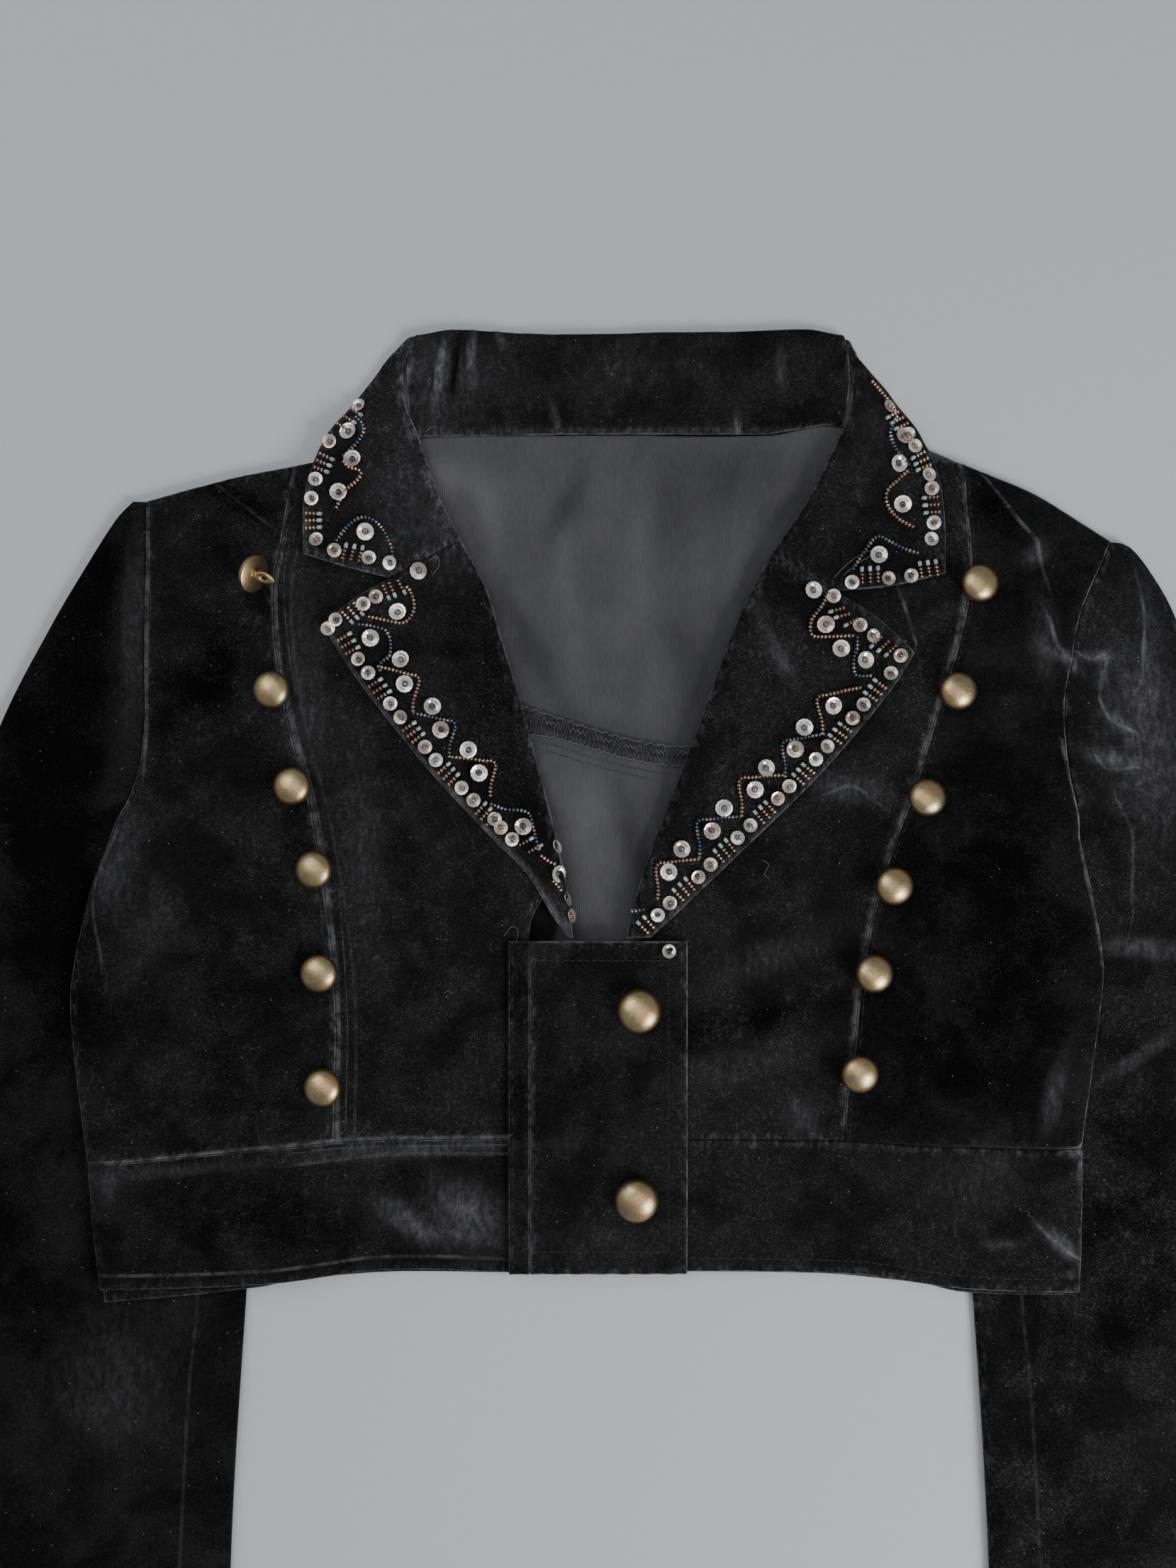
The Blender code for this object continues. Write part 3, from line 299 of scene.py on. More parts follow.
# The collar's back: its ends over the stand, from the neck seam up, and its section
STAND_LEFT = [(-73.4, 356), (-76.6, 369), (-77.3, 382), (-75.6, 394), (-73.4, 400)]
STAND_RIGHT = [(106.6, 356), (108.9, 371), (109.8, 381), (108.8, 394), (107, 400)]
STAND_UNDER_X = (-73.0, 107.0)
STAND_UNDER_Y = 346
STAND_LEVEL = 1.0
STAND_RADIUS = 1.5
STAND_DOME = 0.9
STAND_CORNER = 2.4
STAND_TOP = (385, 399)
STAND_COLUMNS = 210
STAND_CREASES = [
    ([(-74, 388.8), (-78.4, 380)], 1.5, 0.9),
    ([(-61, 396.3), (-63.5, 382), (-65.3, 369.2)], 1.5, 1.7),
    ([(-54.5, 398), (-56.5, 380), (-57.5, 366)], 1.7, -0.9),
    ([(-49.1, 399.6), (-50.7, 382.3), (-52, 372)], 1.4, 1.4),
    ([(-39.3, 400.2), (-35.5, 394.2), (-35, 384)], 1.5, 1.1),
    ([(-30, 400), (-31, 388), (-29, 378)], 2.4, -0.6),
    ([(-16.6, 372), (-14, 364), (-12.3, 357)], 1.6, 0.9),
    ([(-12, 396), (-6, 382), (-8, 366)], 5, 0.6), ([(14, 398), (18, 384), (16, 366)], 6, -0.6),
    ([(52, 398), (48, 382), (52, 366)], 5, 0.7), ([(80, 391), (80.7, 377), (79, 367)], 2, 0.6),
    ([(98, 392), (103, 380), (102, 368)], 3, 0.5),
]
# Patches where the pile lies another way, with painted light and shade on folds, creases and in
# shadows: middle, reach, turn in degrees, lighter or darker
NAP_AND_SHADE_PATCHES = [
    ((-78, 28), (13, 5), -32, 1.0), ((-52, 31), (15, 9), -30, 1.1), ((-60, 20), (18, 4), -6, 0.4),
    ((-140, 30), (44, 14), 0, -0.35), ((-70, 56.5), (42, 3), 3, 0.7),
    ((-170, 49), (34, 2.5), 5, 0.5), ((-200, 42), (4, 8), 0, 0.5),
    ((197, 17.5), (13, 3.2), -43, 1.4), ((201, 5), (5, 2.5), 0, 1.0),
    ((203, 55), (3.5, 1.2), 0, 1.6), ((204.5, 47), (1.2, 8), 0, 1.2), ((172, 18), (8, 1.8), 0, 0.7),
    ((192.5, 81), (3.5, 14), -12, 0.9), ((200, 100), (8, 34), 4, 0.2),
    ((232, 141), (15, 3.8), -4, 1.0), ((230, 95), (20, 3), 37, 0.8), ((75, 137), (34, 7), 22, 0.3),
    ((68, 111), (36, 6), 12, -0.7), ((64, 92), (28, 8), 10, 0.25), ((165, 48), (34, 16), 0, 0.22),
    ((62, 360), (1.5, 5), 0, 1.0), ((90, 68), (7, 9), 20, 0.4), ((230, 256), (10, 40), 0, 0.3),
    ((246, 214), (20, 30), 20, 0.35), ((172, 150), (26, 42), 12, -0.9),
    ((150, 96), (22, 18), 0, -0.5), ((-193, 280), (7, 46), 0, 0.5),
    # These two darken the left sleeve beside the body: a painted shadow
    ((-216, 250), (13, 70), -8, -1.3), ((-226, 170), (16, 60), 10, -1.0),
    ((-150, 100), (30, 60), 0, -0.2), ((219, 220), (11, 3), -12, 1.3),
    ((213, 263.5), (8, 2), -2, 1.3), ((215.5, 256), (2, 8), 8, 0.7),
    ((222, 236), (8, 2.4), -40, 1.2), ((199, 262), (8, 2.2), -38, 1.0),
    ((186, 306), (4, 5), -30, 0.8), ((232, 236), (14, 30), 0, 0.35), ((190, 270), (4, 16), 10, 0.6),
    ((110, 208), (16, 5), -10, 0.6), ((80, 262), (3, 10), 27, 0.8), ((70, 284), (4, 12), 20, 0.4),
    ((-148, 329), (20, 5), -38, -0.9), ((-158, 256), (12, 30), -35, -0.8),
    ((-64, 326), (26, 36), 0, 0.35), ((-40, 240), (16, 40), 18, -0.45),
    ((-60, 382), (16, 16), 0, 0.6), ((20, 384), (40, 12), 0, 0.2),
    ((-63.2, 383), (1.3, 13), -9, 1.6), ((-50, 391), (1.1, 9), -5, 1.3),
    ((-37.4, 397), (1.2, 4), 32, 1.0), ((-76.2, 384.4), (1.1, 5), -27, 1.0),
    ((-57, 384), (1.8, 12), -6, -0.9), ((80.4, 383.5), (1.8, 8), 3, 0.6),
    ((-14.4, 363.5), (1.5, 7), 18, 0.9), ((0, 358.6), (64, 1.3), 0, 0.5),
    ((-200, 172), (7, 22), -20, 0.6), ((-180, 150), (20, 24), 0, 0.2),
    ((-120, 260), (8, 50), 8, 0.3), ((-96, 190), (8, 40), 4, 0.3), ((-30, 100), (10, 40), 0, -0.3),
    ((120, 358), (12, 16), 0, 0.25), ((170, 322), (14, 8), -30, -0.5),
    ((236, 30), (24, 60), 0, -0.5), ((206, -60), (34, 120), 0, -0.35),
    ((-240, 30), (16, 60), 0, -0.3), ((-200, -40), (30, 26), 30, 0.3),
    ((230, -60), (26, 26), -30, 0.3), ((0, 20), (20, 10), 0, 0.15),
]
# Painted light and shade on the back's inner side, which shows in the neck, in the same columns:
# ridges and valleys of its folds, and a shadow under the left lapel
INNER_LIGHT_AND_SHADE = [
    ((-57, 340), (16, 8), -8, 0.7), ((-42.6, 321.5), (5, 18), 12, 0.5),
    ((-11, 326), (5, 16), -24, -0.7), ((-26, 270), (6, 32), 30, -0.7), ((-8, 290), (7, 30), 6, 0.5),
    ((34, 326), (9, 26), 4, -0.4), ((64, 338), (26, 14), 0, -0.5), ((20, 296), (8, 34), 2, 0.4),
    ((40, 262), (8, 22), 24, -0.5), ((2, 232), (34, 7), -12, -0.4), ((0, 198), (10, 22), 0, 0.5),
    ((18, 186), (6, 26), 16, -0.6), ((-12, 160), (6, 16), 0, -0.5),
    # A painted shadow under the left lapel
    ((-21, 150), (7.5, 12), 0, -3.0),
]
# The rubbed rolls of the lapels, on the lapels alone
LAPEL_PATCHES = [
    ((-24, 166), (22, 3.4), -51, 0.9), ((-14, 152), (9, 4), -56, 0.5),
    ((-52, 200), (22, 1.8), -50, 0.5),
]
# How worn the pile of each piece is, with painted light where that side of the jacket catches more
# light: 0 for fresh and dark, 1 for rubbed light
WEAR_AND_LIGHT = {
    "cloth_front_left_side": 0.4, "cloth_front_left_centre": 0.5, "cloth_front_right_side": 0.1,
    "cloth_front_right_centre": 0.6, "cloth_waistband_left": 0.3, "cloth_waistband_right": 0.5,
    "cloth_placket": 0.4, "cloth_placket_strip": 0.2, "cloth_lapel_left": 0.5,
    "cloth_lapel_right": 0.6, "cloth_collar_left": 1.0, "cloth_collar_right": 0.5,
    "cloth_collar_back": 0.35, "cloth_sleeve_left": 0.04, "cloth_sleeve_right": 0.65,
}
# How strong the painted highlight along each piece's rim is, partly standing for worn pile, and
# below which height it fades (and above which)
RIMS = {
    "cloth_front_right_side": (0.9, (62, 72), None),
    "cloth_front_right_centre": (0.45, (64, 74), None),
    "cloth_waistband_right": (0.9, None, (56, 48)), "cloth_placket": (0.95, None, None),
    "cloth_placket_strip": (0.45, None, None), "cloth_front_left_side": (0.6, None, None),
    "cloth_front_left_centre": (0.5, None, None), "cloth_waistband_left": (0.65, None, None),
    "cloth_back_waistband": (0.3, None, None), "cloth_collar_left": (0.75, None, None),
    "cloth_sleeve_left": (0.2, None, None), "cloth_sleeve_right": (0.5, None, None),
}
# Painted highlights along thin pressed lines, seams and creases that catch the light: path and
# strength
BODY_LINES = [
    ([(166.6, 337.6), (176, 324), (185.4, 310.8)], 1.0),
    ([(185.4, 310.8), (188, 302), (191, 293.5)], 0.7), ([(191, 279), (194, 270), (201, 261)], 1.0),
    ([(128.7, 293.5), (133, 282), (136.5, 270)], 0.8), ([(183, 30), (195, 18), (205, 11)], 0.7),
    ([(100, 206), (110, 209), (122, 201)], 0.5), ([(-160, 338), (-147, 328), (-134, 318)], 0.3),
    ([(-205.5, 4.4), (-142, 6.4), (-82, 11), (-28, 9.6)], 0.7),
    ([(-208, 51.6), (-174, 55), (-144, 58), (-107, 61), (-34, 61.8)], 0.75),
    ([(-122, 51.5), (-105, 52.8), (-82, 54.4), (-34, 54.6)], 0.6),
    ([(-105.5, 62), (-105.2, 85), (-104.6, 111), (-106.6, 140), (-110.6, 170), (-116.6, 203),
      (-123.6, 229), (-129.6, 259), (-131.6, 290), (-127.6, 314)], 0.8),
    ([(-98.6, 64), (-98, 111), (-100.2, 140), (-104.6, 170), (-111, 203), (-118, 229),
      (-123.6, 259), (-125.3, 290), (-121, 318)], 0.25),
    ([(106, 76), (109.6, 97), (111.6, 122), (117.6, 155), (124.6, 180), (134.6, 207), (144.6, 240),
      (153.6, 270), (158.6, 300)], 0.45),
    ([(-185.8, 214), (-185.4, 232), (-185.4, 286), (-185, 308), (-185.6, 326)], 0.7),
    ([(-203, 136), (-207, 164), (-197.5, 189)], 0.5),
    ([(197.6, 226), (200, 212), (202.6, 198), (206.8, 173), (211.5, 152), (214, 134)], 0.9),
]
# Painted highlights along the sleeves' creases: path and strength
SLEEVE_LINES = [
    ([(205.3, 264.3), (211.6, 262), (217, 264.3), (215.5, 254), (214, 246)], 0.7),
    ([(214, 246), (218.7, 236.6), (226.5, 232)], 0.9),
    ([(228.9, 299.8), (231, 282.5), (230.4, 260.5)], 0.8),
    ([(221.7, 202), (226.5, 189.5), (227.4, 159.4)], 0.7),
    ([(211, 222), (217, 216), (228, 217)], 0.6),
]

# Buttons: how far each leans in degrees and which way
BUTTON_LEANS = {
    "button_left_1": (114, 158), "button_left_2": (8, 200), "button_left_3": (6, 150),
    "button_left_4": (9, 180), "button_left_5": (5, 220), "button_left_6": (7, 160),
    "button_right_1": (7, 20), "button_right_2": (6, 340), "button_right_3": (9, 60),
    "button_right_4": (5, 0), "button_right_5": (8, 30), "button_right_6": (6, 300),
    "button_placket_1": (4, 90), "button_placket_2": (4, 250),
}
SIDE_BUTTON_RADIUS = 7.9
PLACKET_BUTTON_RADIUS = 9.2
DOME_RISE = 2.8
DOME_FLATNESS = 0.62
# The button's back, step by step: change of width and drop
BUTTON_BACK = ((1.012, 0.35), (0.93, 0.45), (0.35, 0.25))
# The wire loop: radius and rise, then height and thickness as seen and on the overturned button
LOOP_RADIUS = 1.7
LOOP_RISE = 2.6
LOOP = (1.22, 0.45)
OVERTURNED_LOOP = (3.6, 0.95)

# Edging: length and width of its beads, and how high they lie
BEAD_PITCH = 1.6
BEAD_LIFT = 0.72
SEED_BEAD = (1.22, 1.75)
CORE_BEAD = (1.8, 2.4)
BUGLE = (2.8, 1.7)
# Sequins: width, rings from the rim inwards by width and drop, wall, and the radius of the dark
# disc under the core bead, which paints a shade ring round it
LARGE_SEQUIN = 7.3
SMALL_SEQUIN = 6.0
SEQUIN_RINGS = ((0.8, 0.18), (1.0, 0.42), (0.5, 0.12))
SEQUIN_WALL = 0.14
HOLE_AND_SHADE_RADIUS = 1.45
# How high a sequin's cup, its core bead and its dark disc of painted shade lie, and how far it
# sinks when it leans
CUP_LIFT = 0.58
CORE_LIFT = 1.15
HOLE_AND_SHADE_LIFT = 0.64
LEAN_SINK = 0.12
LARGE = True
SMALL = False

# What repeats along an edge: groups of rungs, pairs of sequins and a zigzag of beads
RUNG_PITCH = 3.2
RUNG_COUNT = 3
RUNG_BEADS = 3
ROW_OVERRUN = 8
EDGING = {"period": 23.3, "sequins": (11.3, 18.4), "depth": 5.6, "start": 1.8, "extra": [],
          "zigzag": (0, 0)}
ZIGZAG_PERIOD = 25.0
ZIGZAG = [(0.0, 10.8), (0.22, 15.4), (0.44, 19.6), (0.53, 21.6), (0.62, 21.4), (0.7, 19.2),
          (0.86, 13.6), (1.0, 10.6)]
BAY_SEQUIN = (0.52, 15.1)
OUTER_SEQUIN = (1.12, 18.3)

# Edged edges: piece, half, edge, and what differs there, lengths from the edge's own start
EDGINGS = [
    ("lapel_left", LEFT, "lapel_edge", {"row": (9.6, 122), "zigzag": (28.5, 3)}),
    ("lapel_right", RIGHT, "lapel_edge", {"row": (20, 164), "zigzag": (26.5, 5),
                                          "extra": [(4.6, 4.8), (13.4, 4.4)]}),
    ("lapel_left", LEFT, "lapel_top", {"row": (10, 29), "period": 19.8, "sequins": (9.5, 15.8),
                                       "depth": 4.1, "start": 1.2, "extra": [(6.0, 2.6)]}),
    ("collar_left", LEFT, "collar_edge", {"row": (10.5, 50), "period": 26.8,
                                          "sequins": (13, 21.5), "depth": 3.3, "start": 1.0}),
    ("collar_right", RIGHT, "collar_edge", {"row": (25.6, 74), "period": 20.6,
                                            "sequins": (10.5, 16.5), "depth": 4.6,
                                            "extra": [(14.0, 6.6), (21.3, 5.2)]}),
]
# Bead strings laid free of the rule, by piece: beads and path
LOOPS = [
    ("lapel_left", [
        ("iris", [(-41, 201.4), (-35.6, 199.3), (-26, 198.1), (-23.7, 192.3), (-22.1, 186.2),
         (-20.6, 181.1)]),
        ("copper", [(-20, 179.7), (-17, 177.5), (-13.4, 175.8)]),
        ("copper", [(-15, 169.1), (-13, 167), (-11.3, 164.2)]),
    ]),
    ("lapel_right", [
        ("iris", [(22.5, 157.3), (17.4, 156.4)]),
    ]),
    ("lapel_left", [
        ("copper", [(-92, 279.6), (-83.1, 277.8), (-77.4, 277.4), (-73.2, 282.9), (-74.8, 290.3),
         (-77.1, 292.7)]),
        ("iris", [(-96.2, 276.4), (-90, 275.5), (-84.5, 273.2), (-83.4, 263.6), (-87.1, 260.3),
         (-87.5, 256.3)]),
    ]),
    ("collar_left", [
        ("iris", [(-105.5, 311.5), (-100.5, 317.7), (-94.4, 321.2), (-87.8, 318), (-83.1, 309.7),
         (-82.3, 304.9)]),
        ("copper", [(-105.6, 325.3), (-101.5, 332.2), (-95.9, 337), (-95.3, 339.8),
         (-100.3, 341.9), (-103.3, 344.9)]),
        ("iris", [(-102.7, 346.9), (-97.9, 351.6), (-94.6, 356.8), (-95.1, 360.3), (-98.1, 363.7)]),
    ]),
    ("lapel_right", [
        ("copper", [(99.7, 289.3), (97.5, 284.8), (93.6, 280), (92.4, 277.8), (92.4, 272.9),
         (94.7, 271.3), (110.6, 271.9)]),
        ("iris", [(111.9, 270.9), (111.7, 265.8), (110.4, 262.8), (110.6, 255.9), (112.9, 255),
         (117.9, 255)]),
    ]),
    ("collar_right", [
        ("iris", [(110.1, 299.6), (115.6, 308.3), (119.9, 313.1), (124.6, 311.3), (130.5, 308.3),
         (137.1, 306.1)]),
        ("copper", [(135.1, 317.2), (129, 320.4), (124, 326.3), (123.8, 331.6), (128.2, 336),
         (132.3, 340)]),
        ("iris", [(132.8, 342.9), (127.6, 349.4), (125.4, 355.7), (127, 360.7), (129.3, 364.3)]),
        ("copper", [(128.6, 366.8), (127.2, 370), (124, 374), (120.9, 377.8), (118.2, 380.8)]),
    ]),
]
# Sequins laid free of the rule, by piece: place, size and lean
LONE_SEQUINS = [
    ("lapel_left", [
        ((-39.8, 195.1), SMALL), ((-27.8, 192.2), LARGE), ((-14.0, 183.5), SMALL, (4.2, 1.0)),
        ((-13.2, 172.3), LARGE, (1.5, 0.3)), ((-9.6, 161.4), SMALL, (5.2, 1.5)),
        ((-7.9, 154.6), SMALL, (5.2, 1.5)), ((-80.2, 281.6), LARGE), ((-91.6, 270.9), LARGE),
        ((-78.9, 261.8), LARGE), ((-71.4, 298.9), LARGE), ((-109.4, 274.5), SMALL),
    ]),
    ("collar_left", [
        ((-93.6, 315.2), LARGE), ((-114.1, 311.8), SMALL), ((-106.6, 307.4), SMALL),
        ((-92.2, 304.2), SMALL), ((-83.4, 302.2), SMALL), ((-104.8, 331.6), LARGE),
        ((-99.1, 345.5), LARGE), ((-101.1, 357.4), LARGE), ((-97.3, 369.2), SMALL),
    ]),
    ("lapel_right", [
        ((93.4, 290.8), LARGE), ((98.7, 276.5), LARGE), ((105, 266.4), LARGE),
        ((115.1, 261.6), LARGE), ((101.9, 288.3), SMALL), ((112.9, 276.1), SMALL),
        ((118.3, 271.7), SMALL),
    ]),
    ("collar_right", [
        ((120.6, 305.4), LARGE), ((109.5, 294), SMALL), ((124.5, 295.5), SMALL),
        ((134, 296.7), SMALL), ((130.6, 326.5), LARGE), ((128.6, 343.2), LARGE),
        ((131.5, 355.4), LARGE),
    ]),
]
# Rungs laid free of the rule: piece, outer end, direction in degrees, step and count
LONE_RUNGS = [
    ("lapel_left", (-33.6, 186.9), 32, (3.8, -2.9), 3),
    ("collar_left", (-106.4, 361.6), -33, (2.6, 3.4), 3),
    ("collar_left", (-103.3, 303.3), 78, (3.4, -0.5), 3),
    ("collar_right", (113.8, 293.1), 95, (3.3, 0.2), 3),
    ("collar_right", (138.7, 295.5), 102, (3.3, 0.4), 3),
    ("lapel_left", (-86.6, 293.3), -62, (2.6, 1.1), 2),
    ("lapel_left", (-80.4, 295.4), -58, (0, 0), 1),
    ("lapel_right", (106.8, 283.6), 199, (2.2, -2.5), 2),
    ("lapel_right", (112.5, 279.2), 212, (0, 0), 1),
    ("lapel_right", (122.2, 271.7), 227, (3.1, -1.8), 3),
]

# Sewing: pitch, length and width of the machine stitches and of the chain stitches
STITCH_PITCH = 2.9
STITCH = (2.3, 0.5)
CHAIN_PITCH = 2.6
CHAIN_STITCH = (2.2, 0.6)
# Lines of chain stitch: how far from the yoke's seam, and where they end
CHAINS = ((-7.4, 62), (-10.6, 30))
# The overlock's span along the seam, and its threads: spacing, depths of even and odd points,
# rhythm and size of the depths' stray, lifts of even and odd points, and the lifts' stray
OVERLOCK_SPAN = (-48, 62)
OVERLOCK_WIDTH = 0.6
OVERLOCK = [
    (0.72, (-0.9, 3.9), 2.7, 1.1, (0.8, 1.7), 0), (0.84, (-3.2, 1.9), 1.9, 1.2, (0.6, 1.4), 0),
    (1.05, (0.2, 3.0), 3.1, 1.0, (2.0, 2.0), 0.4), (1.2, (-3.6, -3.6), 1.7, 0.4, (0.7, 0.7), 0),
    (1.2, (4.5, 4.5), 2.3, 0.4, (1.3, 1.3), 0),
]
# Loose ends of thread: surface and path
LOOSE_WIDTH = 0.22
LOOSE_LIFT = 0.35
LOOSE_THREADS = [
    ("lapel_left", [(-66, 297), (-63, 301), (-64, 305), (-67, 303)]),
    ("collar_right", [(106, 297), (112, 302), (119, 306)]),
    ("collar_right", [(102, 296), (108, 302), (116, 307), (121, 306)]),
    ("front", [(-36, 146), (-32, 150), (-30, 146), (-33, 141), (-34, 134)]),
    ("front", [(72, 178), (75, 176), (73.4, 172), (75.4, 170)]),
    ("front", [(-91, 136), (-89.4, 137.4), (-88.6, 136.2)]),
    ("front", [(-61, 122), (-59.4, 123), (-58.2, 121.8)]),
]
# Those on the neck's seam: place across, and how far they run in x and y
NECK_THREADS = ((-69, 5, 2), (-46, 1.6, -6), (63, 1, 4))
NECK_THREAD_LEVEL = 5.6

# The photograph: its height in pixels, its scale and the plan place at its middle
PHOTO_HEIGHT = 2212
MM_PER_PIXEL = 0.298
PHOTO_MIDDLE = (-0.7, 209.8)
CLOTH_LEVEL = 6.0
SENSOR_WIDTH = 36.0

# Stage, in metres: the place that the lights point at
LIT_PLACE = (0, 0.1, 0)


# Small helpers for curves and heights

def ease(start, end, value):
    """0 up to start, 1 from end on, smooth between them, also where end is the lower."""
    share = np.clip((value - start) / (end - start), 0, 1)
    return share * share * (3 - 2 * share)


def rounded(distance, reach):
    """0 at an edge and 1 from the reach on, by a quarter of a sine."""
    return np.sin(0.5 * np.pi * np.clip(distance / reach, 0, 1))


def swelling(distance, reach):
    """0 at an edge and 1 from the reach on, by a quarter of a circle."""
    return np.sqrt(1 - (1 - np.clip(distance / reach, 0, 1)) ** 2)


def bell(distance, half_width):
    return np.exp(-((distance / half_width) ** 2))


def moved(edge, dx=0.0, dy=0.0):
    return [(x + dx, y + dy) for x, y in edge]


def unit(vectors):
    return vectors / np.maximum(np.linalg.norm(vectors, axis=-1, keepdims=True), 1e-9)


def smooth(edge, pieces=10):
    """The smooth curve through an edge's points, as a dense line."""
    points = np.array(edge, dtype=float)
    last = len(points) - 1
    before = points[[0, *range(last - 1)]]
    after = points[[*range(2, last + 1), last]]
    start = points[:-1]
    end = points[1:]
    reach = np.linalg.norm(end - start, axis=1, keepdims=True)
    leave = unit(end - before) * reach
    arrive = unit(after - start) * reach
    share = (np.arange(pieces) / pieces)[None, :, None]
    curve = (
        (2 * share**3 - 3 * share**2 + 1) * start[:, None]
        + (share**3 - 2 * share**2 + share) * leave[:, None]
        + (3 * share**2 - 2 * share**3) * end[:, None]
        + (share**3 - share**2) * arrive[:, None]
    )
    return np.vstack([curve.reshape(-1, 2), points[-1:]])


def lengths_along(line):
    steps = np.linalg.norm(np.diff(np.array(line, dtype=float), axis=0), axis=1)
    return np.concatenate([[0.0], np.cumsum(steps)])


def along(line, shares):
    """Points at the given shares of a line's length."""
    lengths = lengths_along(line)
    at = np.array(shares) * lengths[-1]
    return np.stack([np.interp(at, lengths, column) for column in np.transpose(line)], axis=1)


def x_at(edge, y):
    xs, ys = np.transpose(edge)
    return np.interp(y, ys, xs)


def y_at(edge, x):
    return np.interp(x, *np.transpose(edge))


def signed_distance(line, x, y):
    """Distances from plan points to a line, less than 0 on its right side."""
    nearest = np.full(np.shape(x), np.inf)
    side = np.ones(np.shape(x))
    for (ax, ay), (bx, by) in zip(line[:-1], line[1:]):
        dx = bx - ax
        dy = by - ay
        share = np.clip(((x - ax) * dx + (y - ay) * dy) / (dx * dx + dy * dy + 1e-12), 0, 1)
        away = np.hypot(x - ax - share * dx, y - ay - share * dy)
        closer = away < nearest
        nearest = np.where(closer, away, nearest)
        side = np.where(closer, np.sign(dx * (y - ay) - dy * (x - ax)), side)
    return nearest * np.where(side == 0, 1, side)


def distance_to(line, x, y):
    return np.abs(signed_distance(line, x, y))


def folds_at(folds, x, y):
    """The height that the listed soft folds add at plan points."""
    return sum(height * bell(distance_to(path, x, y), half) for path, half, height in folds)


def turned(x, y, degrees):
    """Plan places measured along and across a turned direction."""
    turn = math.radians(degrees)
    return x * math.cos(turn) + y * math.sin(turn), y * math.cos(turn) - x * math.sin(turn)


def nap_and_shade_at(patches, x, y):
    """How the pile lies, with painted light and shade on folds and in shadows: above 0 lighter,
    below 0 darker.
    """
    total = np.zeros(np.shape(x))
    for at, reach, turn, tone in patches:
        u, v = turned(x - at[0], y - at[1], turn)
        total += tone * np.exp(-((u / reach[0]) ** 2 + (v / reach[1]) ** 2))
    return total


def settled(x, y):
    """The slight waviness that laid cloth keeps."""
    waves = np.sin(x / 13.0 + 1.7 * np.sin(y / 41.0)) * np.sin(y / 17.0 + 1.3 * np.sin(x / 37.0))
    return 0.26 * waves + 0.12 * np.sin(x / 5.3 + y / 8.1) * np.sin(y / 6.7 - x / 23.0)


def by_half(rule):
    """A height rule of one half of the jacket, used on both."""
    def both(x, y):
        return np.where(x < 0, rule(LEFT, x, y), rule(RIGHT, x, y))
    return both


# Heights of the layers, from the floor up

@by_half
def sleeve_reach(half, x, y):
    """How far inside the sleeve under the body a plan point is, less than 0 outside."""
    away = distance_to(half["sleeve_inner"][:UNDERARM_INDEX], x, y)
    inside = (y < UNDERARM_Y) & (np.abs(x) > np.abs(x_at(half["sleeve_inner"], y)))
    return np.where(inside, away, -away)


def over_collar(x, y):
    sideways = 1 - ease(*COLLAR_FADE, np.abs(x - COLLAR_MIDDLE_X))
    return COLLAR_LIFT * ease(*COLLAR_CLIMB, y) * sideways


def back_height(x, y):
    return SLEEVE_LIFT * ease(*BACK_CLIMB, sleeve_reach(x, y)) + over_collar(x, y)


def folded_back_height(x, y):
    """The back where it shows in the neck, with its folds."""
    return back_height(x, y) + np.maximum(folds_at(BACK_FOLDS, x, y) + 0.4 * settled(x, y), -0.3)


def front_base(x, y):
    over_sleeve = SLEEVE_LIFT * ease(*FRONT_CLIMB, sleeve_reach(x, y))
    return over_sleeve + over_collar(x, y) + BODY_WALL + LAYER_GAP


@by_half
def front_edges(half, x, y):
    """How far the front is free to puff up, 0 at the side seam and the shoulder."""
    to_side = np.abs(x_at(half["side"], y)) - np.abs(x) + ARMHOLE_SLACK * ease(*ARMHOLE_FADE, y)
    to_shoulder = y_at(half["shoulder"], x) - y
    at_hem = HEM_TUCK + (1 - HEM_TUCK) * rounded(y - y_at(FRONT_HEM, x), HEM_ROUND)
    return rounded(to_side, SIDE_ROUND) * rounded(to_shoulder, SHOULDER_ROUND) * at_hem


def front_height(x, y):
    """The front's underside."""
    loose = FRONT_PUFF + folds_at(FRONT_FOLDS + FRONT_CREASES, x, y) + settled(x, y)
    return front_base(x, y) + front_edges(x, y) * np.maximum(loose, LEAST_PUFF)


def over_front(x, y):
    return front_height(x, y) + BODY_WALL + LAYER_GAP


def lapel_height(half):
    """The lapel's underside: it turns over the front's edge along the roll line."""
    def height(x, y):
        turn = 1 - rounded(distance_to(half["roll"], x, y), ROLL_SETBACK)
        return over_front(x, y) - ROLL_DROP * turn
    return height


def collar_height(half):
    """The fall's underside: on the front, then down to the stand behind the neck."""
    tucked_edge = half["collar_edge"][2:]

    def height(x, y):
        behind = ease(*FALL_DROP, y)
        on_front = over_front(x, y) + FALL_AIR + folds_at(COLLAR_CREASES, x, y) * (1 - behind)
        level = on_front + (COLLAR_WALL + STAND_TUCK - on_front) * behind
        turn = 1 - rounded(distance_to(half["collar_roll"], x, y), ROLL_SETBACK)
        tuck = ease(*FALL_TUCK, y) * (1 - rounded(distance_to(tucked_edge, x, y), TUCK_ROUND))
        return level - ROLL_DROP * turn * (1 - behind) - (level - FALL_AIR) * tuck
    return height


